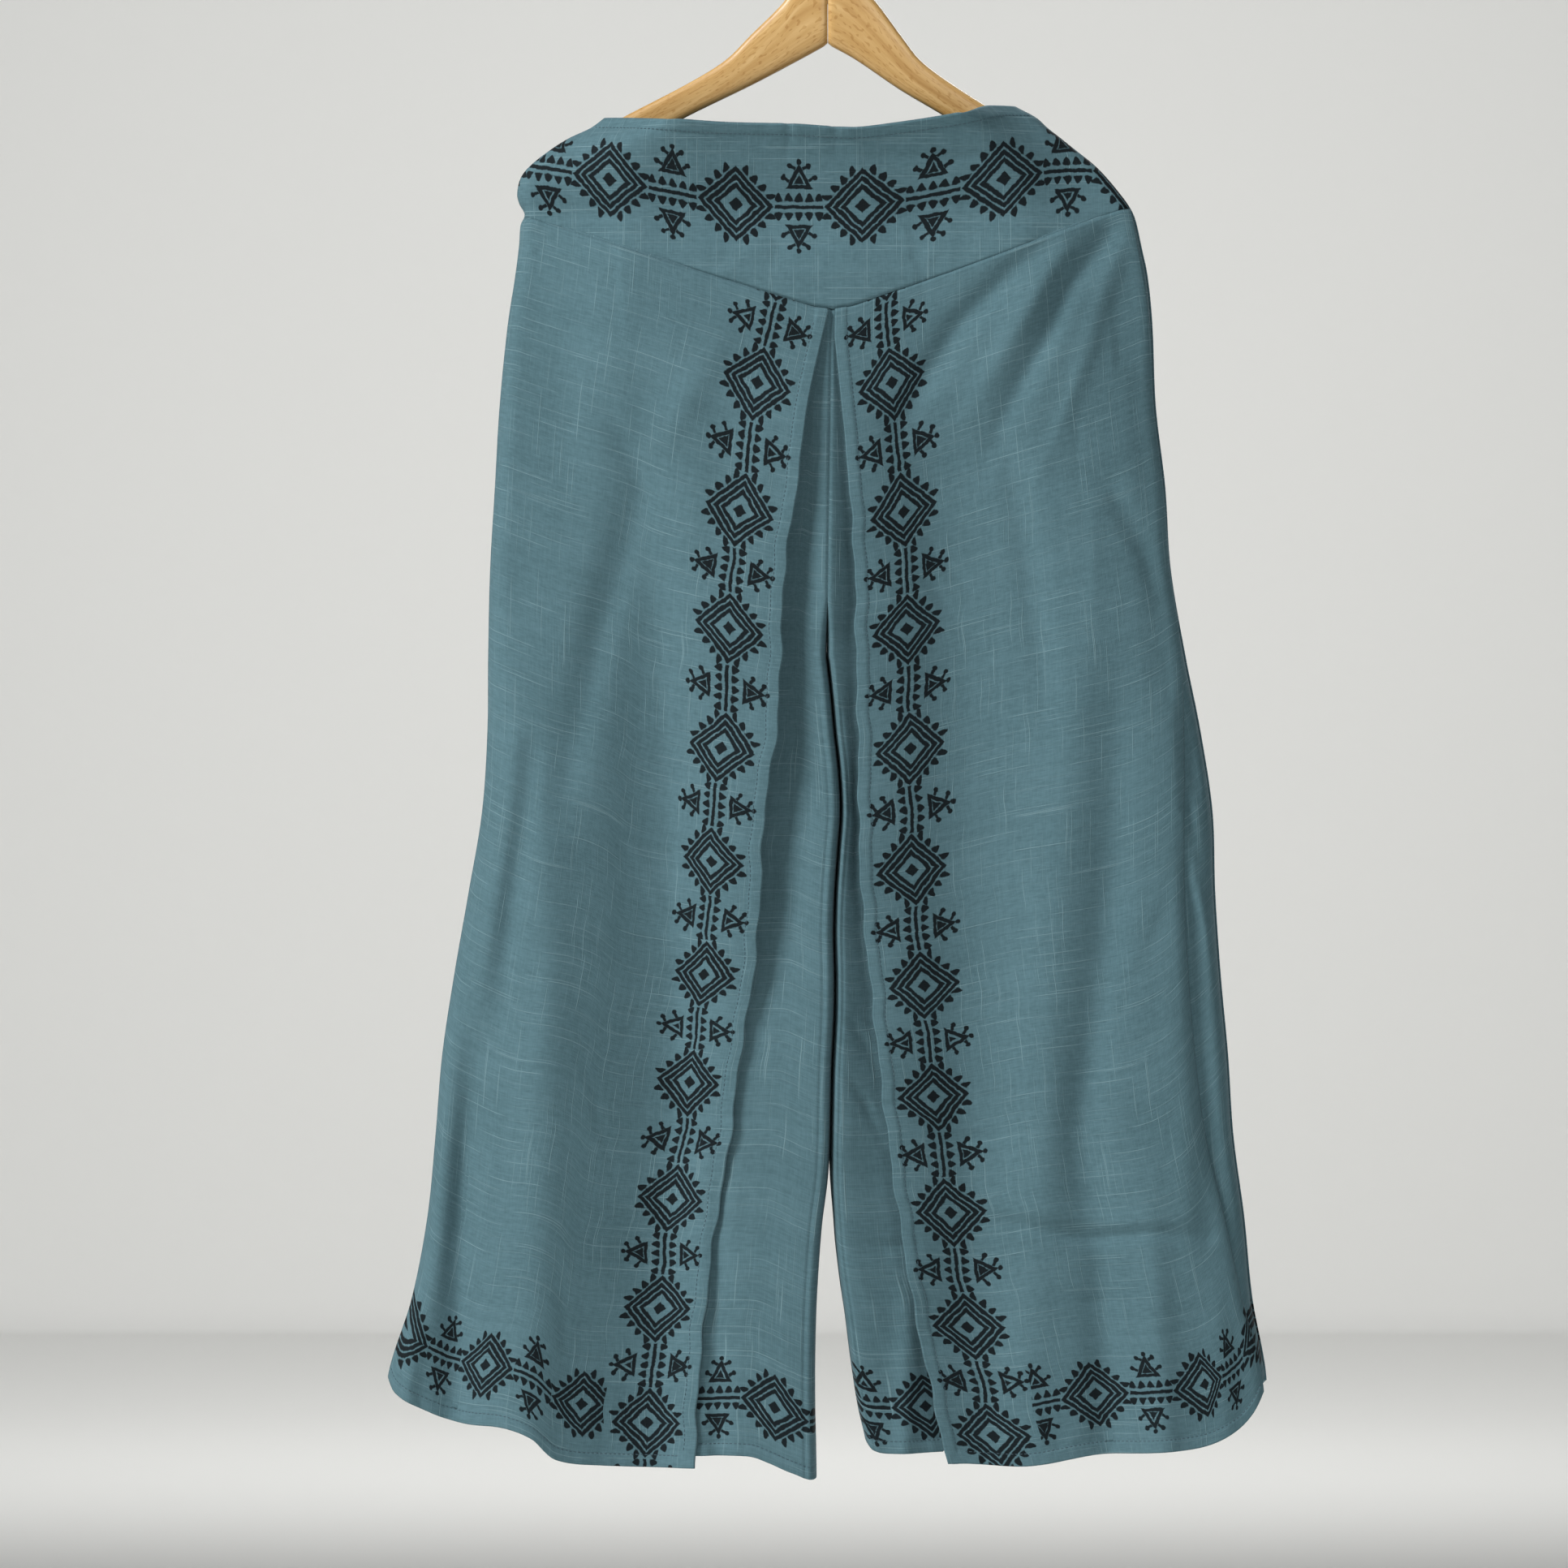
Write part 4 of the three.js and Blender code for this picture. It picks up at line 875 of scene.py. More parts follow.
            # This border stops short of another one
            other = addNode(tree, "ShaderNodeUVMap", {"uv_map": border["clearOf"]}).outputs["UV"]
            known["gap"] = addNode(tree, "ShaderNodeSeparateXYZ", None, {"Vector": other}).outputs["Y"]
            addFormula(tree, [
                ("gap", "LESS_THAN", "gap", border["clearBy"] * metresPerMm),
                ("found", "MULTIPLY_ADD", "gap", 20.0, "found"),
            ], known)
        if ink is not None:
            known["earlier"] = ink
            addFormula(tree, [("found", "MINIMUM", "found", "earlier")], known)
        ink = known["found"]
    known["ink"] = ink
    soft = look["edgeSoftness"]
    addFormula(tree, [
        ("grain", "MULTIPLY_ADD", "grit", 0.8, -0.4),
        ("ink", "ADD", "ink", "grain"),
        ("cover", "MULTIPLY_ADD", "ink", -0.5 / soft, 0.5),
        ("cover", "MINIMUM", "cover", 1.0),
        ("cover", "MAXIMUM", "cover", 0.0),
        ("cover", "MULTIPLY", "cover", 0.96),
        ("thin", "MULTIPLY_ADD", "patch", 2.4, -0.95),
        ("thin", "MULTIPLY", "thin", "grit"),
        ("inkRough", "MULTIPLY_ADD", "cover", look["inkRoughness"] - look["roughness"], look["roughness"]),
    ], known)
    inkTone = addNode(tree, "ShaderNodeMix", {"data_type": "RGBA"}, {
        0: known["thin"], 6: linearColour(look["ink"]), 7: linearColour(look["inkThin"])}).outputs[2]
    colour = addNode(tree, "ShaderNodeMix", {"data_type": "RGBA"}, {
        0: known["cover"], 6: tinted, 7: inkTone}).outputs[2]
    bump = addNode(tree, "ShaderNodeBump", None, {
        "Strength": look["weaveStrength"], "Distance": look["weaveDepth"],
        "Height": known["height"]}).outputs["Normal"]
    shader = addNode(tree, "ShaderNodeBsdfPrincipled", None, {
        "Base Color": colour, "Roughness": known["inkRough"], "Normal": bump, "IOR": 1.5,
        "Specular IOR Level": 0.14, "Sheen Weight": 0.04, "Sheen Roughness": 0.5})
    addNode(tree, "ShaderNodeOutputMaterial", None, {"Surface": shader.outputs[0]})
    return material


overlayCotton = printedCotton("block printed slub cotton, overlay", [
    {"map": "edge"},
    {"map": "hem", "clearOf": "edge", "clearBy": 30.0},
])
legCotton = printedCotton("block printed slub cotton, leg", [{"map": "hem"}])
yokeCotton = printedCotton("block printed slub cotton, yoke", [{"map": "waist"}])
print("scene: printed cotton made")


# Overlays

overlay = {
    "columns": 44,  # besides those at fixed distances from the sides
    "rows": 250,
    "levels": (300.0, 1150.0),  # where the columns are read for the seam and for the hem
    "left": {"motifs": [379.8, 474.6, 560.4, 649.2, 732, 816, 895.2, 982.2, 1062.6, 1147.2],
             "hemMotifs": [-313, -253, -182]},
    "right": {"motifs": [379.2, 474.6, 561, 649.2, 739.2, 824.4, 906, 991.8, 1076.4, 1156.2],
              "hemMotifs": [197.4, 278.4, 318]},
    "edgeMiddle": 40.0,  # the middles of the two borders, from the free edge and from the hem
    "hemMiddle": 45.0,
    "printStretch": {"down": [300, 380, 560, 750, 1150, 1200],
                     "left": [0.93, 0.93, 0.92, 0.92, 0.92, 0.92],
                     "right": [0.93, 0.92, 0.9, 0.88, 0.87, 0.87]},
    "flare": {"rise": 7.5, "reach": 62, "grows": (335, 440)},  # the free edge stands proud
    "close": {"share": 0.85, "grows": (720, 900)},  # but on the left it lies close lower down
    "flutter": {"rise": 0.8, "reach": 30, "grows": (400, 560), "wave": 23},
    # How the right one's outer side turns in over the leg
    "turnIn": {"radius": 12.0, "lift": 0.4, "grows": (540, 640), "ends": (1060, 1120)},
}
sideOffsets = quarterOffsets(20, 12)
fineEdge = [0, 1.2, 2.6, 4.2, 5.8, 7.2, 8.2, 9.0, 9.8, 10.8, 12.4, 14.6]
edgeOffsets = fineEdge + list(np.arange(17.4, 84, 2.8))
hemOffsets = fineEdge + list(np.arange(17.6, 90, 3.0))
seamOffsets = [0, 0.4, 0.8, 1.3, 2.0, 3.0, 4.4, 6.4]


def hemCurve(table, x):
    # How far down a hem hangs at x
    return readTable(table, "x", "down", x)


def threadMap(points):
    # Warp follows the columns and weft follows the rows, so each gets its mean length along the other
    across = arcAlong(points, 1).mean(axis=0)
    down = arcAlong(points, 0).mean(axis=1)
    across, down = np.broadcast_arrays(across[None, :], down[:, None])
    return np.stack([across, down], axis=-1) * metresPerMm


def bordersMap(phase, distance):
    # UV places of a printed border: along it, and out from its middle
    phase, distance = np.broadcast_arrays(phase, distance)
    return np.stack([phase, distance], axis=-1) * metresPerMm


def nearestIndex(offsets, value):
    # Counted from the end, where the offsets are measured from
    return -1 - int(np.argmin(np.abs(np.array(offsets) - value)))


def readLevels(columnX, levels):
    # Where a panel's columns are at fixed levels, before its rows are known
    return [columnX(np.array([[level]])) for level in levels]


def makePanel(name, points, thickness, maps, material):
    # A sewn panel stands for the CAD node of its name
    piece = makeWall(name, points, thickness, maps, material)
    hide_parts(name.replace(".", "_"))
    return piece


def makeOverlay(side):
    # From the outer side to the free edge, and from the yoke's seam to the hem: the garment's depth one
    # layer further out, with the flare, flutter, seam and turned strips added
    name = sideName(side)
    columns = plan(sideOffsets, edgeOffsets, overlay["columns"])
    rows = plan(seamOffsets, hemOffsets, overlay["rows"])

    def outerAt(down):
        if side < 0:
            return side * reachAt(side, down, cut["layer"])
        return readTable(rightCover, "down", "reach", down)

    def columnX(down):
        return place(columns, outerAt(down), edgeAt(side, down), -side, 1)

    topX, hemX = readLevels(columnX, overlay["levels"])
    top, hem = seamDown(side, topX), hemCurve(overlayHem, hemX)
    down = place(rows, top, hem, 1, 0)
    x = columnX(down)
    depth = bodyDepth(side, "front", x, down, cut["layer"]) + cut["layer"]
    if side > 0:
        # The outer side turns in over the leg, which lies behind it
        turnIn = overlay["turnIn"]
        apart = smoothStep(*turnIn["grows"], down) * (1 - smoothStep(*turnIn["ends"], down))
        turn = turned(np.maximum(outerAt(down) - x, 0), turnIn["radius"])
        legDepth = depth - cut["layer"] - sideValley(x, down) + turnIn["lift"]
        depth = depth + (legDepth + (depth - legDepth) * turn - depth) * apart
    fromEdge = side * (x - edgeAt(side, down))
    fromHem = hem - down
    fromSeam = down - top
    flare, close, flutter = overlay["flare"], overlay["close"], overlay["flutter"]
    proud = flare["rise"] * smoothStep(flare["reach"], 0, fromEdge) * smoothStep(*flare["grows"], down)
    if side < 0:
        proud = proud * (1 - close["share"] * smoothStep(*close["grows"], down))
    wave = (flutter["rise"] * np.sin(down / flutter["wave"] + side)
            * smoothStep(flutter["reach"], 0, fromEdge) * smoothStep(*flutter["grows"], down))
    depth = depth + proud + wave + seamDip(fromSeam)
    depth = depth + np.maximum(hemShape(fromEdge, down), hemShape(fromHem, x))
    points = clothPoints(x, depth, down, "front")
    thickness = cut["cloth"] + cut["hemThick"] * smoothStep(10, 8, np.minimum(fromEdge, fromHem))
    rowArc, columnArc = arcAlong(points, 1), arcAlong(points, 0)
    middle = nearestIndex(edgeOffsets, overlay["edgeMiddle"])
    phase = phaseOf(down[:, middle], overlay[name]["motifs"])
    hemRow = nearestIndex(hemOffsets, overlay["hemMiddle"])
    hemPhase = phaseOf(x[hemRow, :], overlay[name]["hemMotifs"])
    # The print is a little narrower or wider where the cloth was printed slack or drawn in
    stretch = readTable(overlay["printStretch"], "down", name, down[:, middle:middle + 1])
    fromEdgePrint = overlay["edgeMiddle"] + (rowArc[:, -1:] - rowArc - overlay["edgeMiddle"]) * stretch
    maps = {
        "cloth": threadMap(points),
        "edge": bordersMap(phase[:, None], fromEdgePrint - overlay["edgeMiddle"]),
        "hem": bordersMap(hemPhase[None, :], columnArc[-1:, :] - columnArc - overlay["hemMiddle"]),
    }
    piece = makePanel(f"overlay.{name}", points, thickness, maps, overlayCotton)
    stitchAt = nearestIndex(edgeOffsets, cut["hemStrip"])
    stitchRow = nearestIndex(hemOffsets, cut["hemStrip"])
    return piece, [points[8:stitchRow, stitchAt], points[stitchRow, 2:stitchAt]]


def sideValley(x, down):
    # On the right the leg lies well back where it shows beyond the overlay's turned side
    beyond = x - readTable(rightCover, "down", "reach", down)
    within = smoothStep(-16, -2, beyond) * (1 - 0.75 * smoothStep(4, 16, beyond))
    valley = leg["valley"]
    return valley["depth"] * within * smoothStep(*valley["grows"], down) * (
        1 - smoothStep(*valley["ends"], down))


# Legs

leg = {
    "front": {"coveredColumns": 16, "openColumns": 24, "rows": 234, "levels": (332.0, 1168.0),
              "left": {"hemMotifs": [-285, -204, -122, -39.6], "hemMiddle": 43.0},
              "right": {"hemMotifs": [72, 152, 232, 312], "hemMiddle": 35.0}},
    "back": {"columns": 62, "rows": 250, "levels": (280.0, 1160.0),
             "left": {"hemMotifs": [-290, -212, -134, -56], "hemMiddle": 44.0},
             "right": {"hemMotifs": [60, 140, 220, 300], "hemMiddle": 44.0}},
    # How far back the right leg lies beside its overlay
    "valley": {"depth": 4.5, "grows": (540, 640), "ends": (1040, 1120)},
    "ridge": {"rise": 3.0, "half": 14, "grows": (400, 520)},  # the cloth lifts beside the centre seam
    "crease": {"depth": 0.8, "half": 1.2, "grows": (590, 640)},  # beside the pressed inner side
    "tuck": 3.4,  # the seam allowance goes up behind the yoke
    "behind": 0.5,  # the leg lies this much deeper than the garment
}
tuckOffsets = [-3.0, -2.2, -1.4, -0.6, 0.2, 1.0, 2.2, 4.0, 6.6]


def hemMaps(face, name, points, x):
    # The print's border runs along the hem, with its distance measured up the cloth
    arc = arcAlong(points, 0)
    border = leg[face][name]
    row = nearestIndex(hemOffsets, border["hemMiddle"])
    phase = phaseOf(x[row, :], border["hemMotifs"])
    return {
        "cloth": threadMap(points),
        "hem": bordersMap(phase[None, :], arc[-1:, :] - arc - border["hemMiddle"]),
    }


def makeLegFront(side):
    # The columns come in two parts, behind the overlay and open inside it, which meet at the free edge.
    # The depth is the garment's, less what the leg sinks behind the overlay.
    name = sideName(side)
    covered = plan(quarterOffsets(20, 10), [0], leg["front"]["coveredColumns"])
    inside = innerSides["front"][name]
    turn = quarterOffsets(inside["wide"], 9) + [inside["wide"] + d for d in (0.7, 1.5, 2.6, 4.0)]
    opened = plan([0, 1.6], turn, leg["front"]["openColumns"])
    rows = plan(tuckOffsets, hemOffsets, leg["front"]["rows"])
    count = len(covered["shift"])
    outerShare = np.concatenate([1 - covered["endShare"], 0 * opened["shift"][1:]])
    innerShare = np.concatenate([0 * covered["shift"], opened["endShare"][1:]])
    shift = np.concatenate([covered["shift"], opened["shift"][1:]])
    isCovered = (np.arange(len(shift)) < count)[None, :]

    def columnX(down):
        edge, inner = edgeAt(side, down), innerAt(side, down)
        outer = side * reachAt(side, down, 0.2)
        # The open part starts narrow, so its fixed distances shrink with it
        scale = np.where(isCovered, 1, np.minimum(np.abs(edge - inner) / (turn[-1] + 4), 1))
        return (outer * outerShare + edge * (1 - outerShare - innerShare) + inner * innerShare
                - side * shift * scale)

    topX, hemX = readLevels(columnX, leg["front"]["levels"])
    top = seamDown(side, topX)
    hem = np.where(isCovered, hemCurve(overlayHem, hemX) - cut["overlayDrop"], hemCurve(openHem, hemX))
    down = place(rows, top, hem, 1, 0)
    x = columnX(down)
    depth = bodyDepth(side, "front", x, down) - sunk(side, x, down)
    if side > 0:
        depth = depth - sideValley(x, down)
    fromInner = np.maximum(side * (x - innerAt(side, down)), 0)
    fromHem = hem - down
    above = 1 - smoothStep(cut["crotchTop"], cut["crotch"], down)
    ridge, crease = leg["ridge"], leg["crease"]
    centreSeam = seamDip(fromInner, 1.1, 1.3) * above
    lifted = ridge["rise"] * np.exp(-((fromInner / ridge["half"]) ** 2)) * smoothStep(
        *ridge["grows"], down) * above
    pressed = -crease["depth"] * np.exp(
        -(((fromInner - inside["wide"]) / crease["half"]) ** 2)) * smoothStep(*crease["grows"], down)
    tucked = leg["tuck"] * smoothStep(0.6, -1.6, down - top)
    depth = depth + centreSeam + lifted + pressed - tucked - leg["behind"]
    depth = np.maximum(depth + hemShape(fromHem, x) * smoothStep(0, 6, fromInner), 0)
    points = clothPoints(x, depth, down, "front")
    thickness = cut["cloth"] + cut["hemThick"] * smoothStep(10, 8, fromHem)
    maps = hemMaps("front", name, points, x)
    piece = makePanel(f"leg.front.{name}", points, thickness, maps, legCotton)
    return piece, [points[nearestIndex(hemOffsets, cut["hemStrip"]), count - 1:-3]]


def makeLegBack(side):
    # From the side seam to the inner side, and from the back's seam to the hem, at the garment's depth
    name = sideName(side)
    turn = quarterOffsets(innerSides["back"][name]["wide"], 12)
    columns = plan(sideOffsets, turn, leg["back"]["columns"])
    rows = plan(seamOffsets, hemOffsets, leg["back"]["rows"])

    def columnX(down):
        inner = innerAt(side, down, "back")
        return place(columns, side * reachAt(side, down, cut["layer"]), inner, -side, 1)

    topX, hemX = readLevels(columnX, leg["back"]["levels"])
    top, hem = backSeamDown(side, topX), hemCurve(backHem, hemX)
    down = place(rows, top, hem, 1, 0)
    x = columnX(down)
    depth = bodyDepth(side, "back", x, down, cut["layer"])
    fromInner = np.maximum(side * (x - innerAt(side, down, "back")), 0)
    fromHem = hem - down
    above = 1 - smoothStep(cut["crotchTop"], cut["crotch"], down)
    depth = depth + seamDip(fromInner, 1.2, 1.4) * above + seamDip(down - top)
    depth = np.maximum(depth + hemShape(fromHem, x) * smoothStep(0, 6, fromInner), 0)
    points = clothPoints(x, depth, down, "back")
    thickness = cut["cloth"] + cut["hemThick"] * smoothStep(10, 8, fromHem)
    maps = hemMaps("back", name, points, x)
    piece = makePanel(f"leg.back.{name}", points, thickness, maps, legCotton)
    return piece, [points[nearestIndex(hemOffsets, cut["hemStrip"]), 3:-3]]


# Yoke

yoke = {
    "front": {"lean": 22.0, "motifs": [-255, -161.6, -68, 25.2, 130.2, 228],
              "line": {"x": [-262, -221, -161.6, -68, -20, 25.2, 78, 130.2, 180, 212, 262],
                       "down": [214, 218.7, 229.6, 247.7, 250, 249, 241, 229.2, 222, 224, 238]}},
    "back": {"lean": 2.0, "motifs": [-230, -138, -46, 46, 138, 230],
             "line": {"x": [-262, -200, -130, -60, 0, 60, 130, 200, 262],
                      "down": [216, 222, 232, 239, 241, 239, 231, 222, 216]}},
    "columns": 150,
    "rows": 46,
    "level": 256.0,  # where the columns are read for the seam
    "acrossStretch": 0.88,  # this border was printed a little wider
    "strip": 0.7,  # the turned edge stands this proud
    "slack": {"rise": 1.6, "at": 6, "half": 34, "reach": 30},  # between the two arms
    "hollow": {"down": 68, "share": 0.25, "half": 24, "bend": 1.9},  # below the waist that falls open
}
stripOffsets = [0, 1.0, 2.4, 4.2, 5.6, 6.4, 7.0, 7.6, 8.6, 10.2]


def makeYoke(face):
    # One piece from side seam to side seam, and from the yoke's seam up to the waist: the garment's
    # depth with the folds, the turned strip, the slack between the arms and the lean of the waist added
    columns = plan(sideOffsets, sideOffsets, yoke["columns"])
    rows = plan(seamOffsets, stripOffsets, yoke["rows"])
    seam = seamDown if face == "front" else backSeamDown

    def columnX(down):
        return place(columns, -reachAt(-1, down, cut["layer"]), reachAt(1, down, cut["layer"]), 1, 1)

    bottomX, = readLevels(columnX, [yoke["level"]])
    bottom = np.where(bottomX < 0, seam(-1, bottomX), seam(1, bottomX)) - 0.12
    # The columns narrow with the shoulders, keeping their share of the width
    share = (bottomX - bottomX[0, 0]) / (bottomX[0, -1] - bottomX[0, 0])
    topLeft, topRight = -reachAt(-1, 182.0), reachAt(1, 174.0)
    top = readTable(topEdge, "x", "down", topLeft + (topRight - topLeft) * share)
    down = place(rows, bottom, top, -1, 0)
    x = columnX(down)
    bothSides = [bodyDepth(side, face, x, down, cut["layer"]) for side in (-1, 1)]
    depth = np.where(x < 0, *bothSides)
    fromSide = np.minimum(x + reachAt(-1, down, cut["layer"]), reachAt(1, down, cut["layer"]) - x)
    folds = foldRise(foldSets["yoke"], x if face == "front" else -x, down) * smoothStep(0, 20, fromSide)
    fromTop = down - top
    groove = cut["hemGroove"] * np.exp(-((fromTop - cut["waistStrip"]) ** 2))
    strip = yoke["strip"] * smoothStep(8.0, 6.6, fromTop) - groove
    slack = yoke["slack"]["rise"] * np.exp(-(((x - yoke["slack"]["at"]) / yoke["slack"]["half"]) ** 2))
    slack = slack * smoothStep(yoke["slack"]["reach"], 0, fromTop)
    # The waist falls open: its upper edge hangs forward of the hollow below it
    hollow = yoke["hollow"]
    opening = np.clip(1 - fromTop / hollow["down"], 0, 1) ** hollow["bend"]
    below = hollow["share"] * np.exp(-(((fromTop - hollow["down"]) / hollow["half"]) ** 2))
    lean = yoke[face]["lean"] * (opening - below)
    folds = folds + lean * smoothStep(0, 60, fromSide)
    depth = depth + cut["layer"] * turned(fromSide, 9.0) + folds + strip + slack + seamDip(bottom - down)
    depth = np.maximum(depth, 0)
    points = clothPoints(x, depth, down, face)
    # The yoke's threads run straight across and straight down, with the turn at each side counted in
    steps = np.diff(points, axis=1)
    across = np.cumsum(np.hypot(steps[..., 0], steps[..., 1]), axis=1)
    across = np.concatenate([0 * across[:, :1], across], axis=1)
    centre = int(np.argmin(np.abs(x[0])))
    across = across - across[:, centre:centre + 1] + x[:, centre:centre + 1]
    line = readTable(yoke[face]["line"], "x", "down", across)
    fromLine = (line - down) * yoke["acrossStretch"]
    maps = {
        "cloth": np.stack([across, down], axis=-1) * metresPerMm,
        "waist": bordersMap(phaseOf(across, yoke[face]["motifs"]), fromLine),
    }
    piece = makePanel(f"yoke.{face}", points, cut["yoke"], maps, yokeCotton)
    return piece, [points[nearestIndex(stripOffsets, cut["waistStrip"]), 3:-3]]


sewn = {}
for side in (-1, 1):
    sewn[f"overlay.{sideName(side)}"] = makeOverlay(side)
    sewn[f"leg.front.{sideName(side)}"] = makeLegFront(side)
    sewn[f"leg.back.{sideName(side)}"] = makeLegBack(side)
for face in ("front", "back"):
    sewn[f"yoke.{face}"] = makeYoke(face)
print("scene: cloth made")

# Coat hanger

hanger = {
    "thick": 12.0,
    "jointGap": 0.2,
    "tipRound": 11,
    "easedEdge": 0.9,  # at the joint in the middle
    "squareness": 0.62,  # power of the section's sine and cosine, where 1 is an ellipse
    "leftUpper": {"x": [0, 11, 24, 33, 57, 75, 102, 148, 174, 196, 214, 222, 226],
                  "down": [72, 73, 84, 97, 121, 139, 156, 180, 194, 206, 219, 229, 240]},
    "leftLower": {"x": [0, 20, 56, 109, 160, 200, 216, 226],
                  "down": [128, 139, 158, 184, 213, 238, 249, 244]},
    "rightUpper": {"x": [0, 11, 25, 37, 54, 68, 90, 125, 148, 172, 195, 209, 216],
                   "down": [72, 73, 85, 98, 121, 139, 156, 178, 189, 203, 222, 236, 248]},
    "rightLower": {"x": [0, 20, 54, 86, 140, 180, 204, 216],
                   "down": [128, 139, 162, 181, 216, 243, 256, 252]},
    "roughness": 0.42,
    "wood": "#cba162",
    "woodDark": "#b58748",
    "woodLight": "#dcb67a",
    "grainPitch": 3.2,
}


def varnishedBeech():
    # Turned beech under satin varnish: warm pale brown, fine dark flecks and soft streaks along the arm
    material, tree = newMaterial("varnished beech")
    along = addNode(tree, "ShaderNodeUVMap", {"uv_map": "grain"}).outputs["UV"]
    pitch = hanger["grainPitch"]
    at = addNode(tree, "ShaderNodeMapping", None, {
        "Vector": along, "Scale": (1000 / 90, 1000 / pitch, 1)}).outputs["Vector"]
    grain = addNode(tree, "ShaderNodeTexNoise", {"noise_dimensions": "2D"}, {
        "Vector": at, "Scale": 1.0, "Detail": 5.0, "Roughness": 0.6, "Distortion": 0.4}).outputs["Fac"]
    fleckAt = addNode(tree, "ShaderNodeMapping", None, {
        "Vector": along, "Scale": (1000 / 5.0, 1000 / 0.8, 1)}).outputs["Vector"]
    flecks = addNode(tree, "ShaderNodeTexNoise", {"noise_dimensions": "2D"}, {
        "Vector": fleckAt, "Scale": 1.0, "Detail": 0.0}).outputs["Fac"]
    known = addFormula(tree, [
        ("fleck", "MULTIPLY_ADD", "flecks", 5.0, -3.4),
        ("fleck", "MAXIMUM", "fleck", 0.0),
        ("fleck", "MINIMUM", "fleck", 0.22),
        ("tone", "SUBTRACT", "grain", "fleck"),
    ], {"grain": grain, "flecks": flecks})
    ramp = addNode(tree, "ShaderNodeValToRGB", None, {"Fac": known["tone"]})
    ramp.color_ramp.elements[0].position = 0.2
    ramp.color_ramp.elements[0].color = linearColour(hanger["woodDark"])
    ramp.color_ramp.elements[1].position = 0.72
    ramp.color_ramp.elements[1].color = linearColour(hanger["woodLight"])
    centre = ramp.color_ramp.elements.new(0.48)
    centre.color = linearColour(hanger["wood"])
    bump = addNode(tree, "ShaderNodeBump", None, {
        "Strength": 0.2, "Distance": 0.0002, "Height": known["tone"]}).outputs["Normal"]
    shader = addNode(tree, "ShaderNodeBsdfPrincipled", None, {
        "Base Color": ramp.outputs["Color"], "Roughness": hanger["roughness"], "Normal": bump,
        "IOR": 1.5, "Coat Weight": 0.25, "Coat Roughness": 0.3})
    addNode(tree, "ShaderNodeOutputMaterial", None, {"Surface": shader.outputs[0]})
    return material


def platedSteel():
    # Bent steel wire, bright nickel plated: sharp highlights with faint drawing lines
    material, tree = newMaterial("nickel plated steel wire")
    at = addNode(tree, "ShaderNodeTexCoord").outputs["Object"]
    worn = addNode(tree, "ShaderNodeTexNoise", None, {"Vector": at, "Scale": 900.0}).outputs["Fac"]
    known = addFormula(tree, [("rough", "MULTIPLY_ADD", "worn", 0.16, 0.12)], {"worn": worn})
    shader = addNode(tree, "ShaderNodeBsdfPrincipled", None, {
        "Base Color": linearColour(hookLook["steel"]), "Metallic": 1.0, "Roughness": known["rough"]})
    addNode(tree, "ShaderNodeOutputMaterial", None, {"Surface": shader.outputs[0]})
    return material


def makeArm(side, material):
    # An upright rounded section carried outwards: the upper and lower edges come from two tables,
    # and the section is a superellipse of half the height between them and half the thickness
    name = sideName(side)
    upper, lower = hanger[f"{name}Upper"], hanger[f"{name}Lower"]
    tip = upper["x"][-1]
    turns = np.linspace(0, 2 * math.pi, 33)[:-1]
    share = np.linspace(0, 1, 110)
    reach = hanger["jointGap"] + (tip - hanger["jointGap"]) * (1 - (1 - share) ** 1.5)
    high = readTable(upper, "x", "down", reach)
    low = readTable(lower, "x", "down", reach)
    tipShare = ((reach - tip + hanger["tipRound"]) / hanger["tipRound"]).clip(0, 1)
    ending = np.sqrt(np.clip(1 - tipShare**2, 0.0009, 1))
    eased = hanger["easedEdge"] * np.exp(-(reach - hanger["jointGap"]) / 0.8)
    halfHeight = (low - high) / 2 * ending - eased
    halfThick = hanger["thick"] / 2 * ending**0.6 - eased
    centre = (high + low) / 2
    cosine = np.sign(np.cos(turns)) * np.abs(np.cos(turns)) ** hanger["squareness"]
    sine = np.sign(np.sin(turns)) * np.abs(np.sin(turns)) ** hanger["squareness"]
    points = np.stack([
        side * reach[:, None] + 0 * turns[None, :],
        halfThick[:, None] * cosine[None, :],
        -(centre[:, None] - halfHeight[:, None] * sine[None, :]),
    ], axis=-1)
    verts, quads = closedTube(points)
    # The grain runs along the arm, and each arm has its own part of the pattern
    around = np.tile(13 * np.sin(turns), len(reach)) + side * 40
    grain = np.stack([np.repeat(reach * 1.25, len(turns)), around], axis=-1)
    grain = np.concatenate([grain, [[0, 0], [tip, 0]]]) * metresPerMm
    piece = makeMesh(f"hanger.arm.{name}", verts, quads, {"grain": grain}, material)
    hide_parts(f"hanger_arm_{name}")
    return piece


hookLook = {
    "wire": 1.9,
    "ring": 19.0,
    "sweep": 232.0,  # degrees round the ring, from its tip
    "start": 192.0,
    "pull": 17.0,  # how softly the wire bends from the ring to the stem
    "bendStart": 58.0,
    "stemEnd": 98.0,
    "capAngles": [78, 55, 28],
    "steel": "#cfcdc8",
}


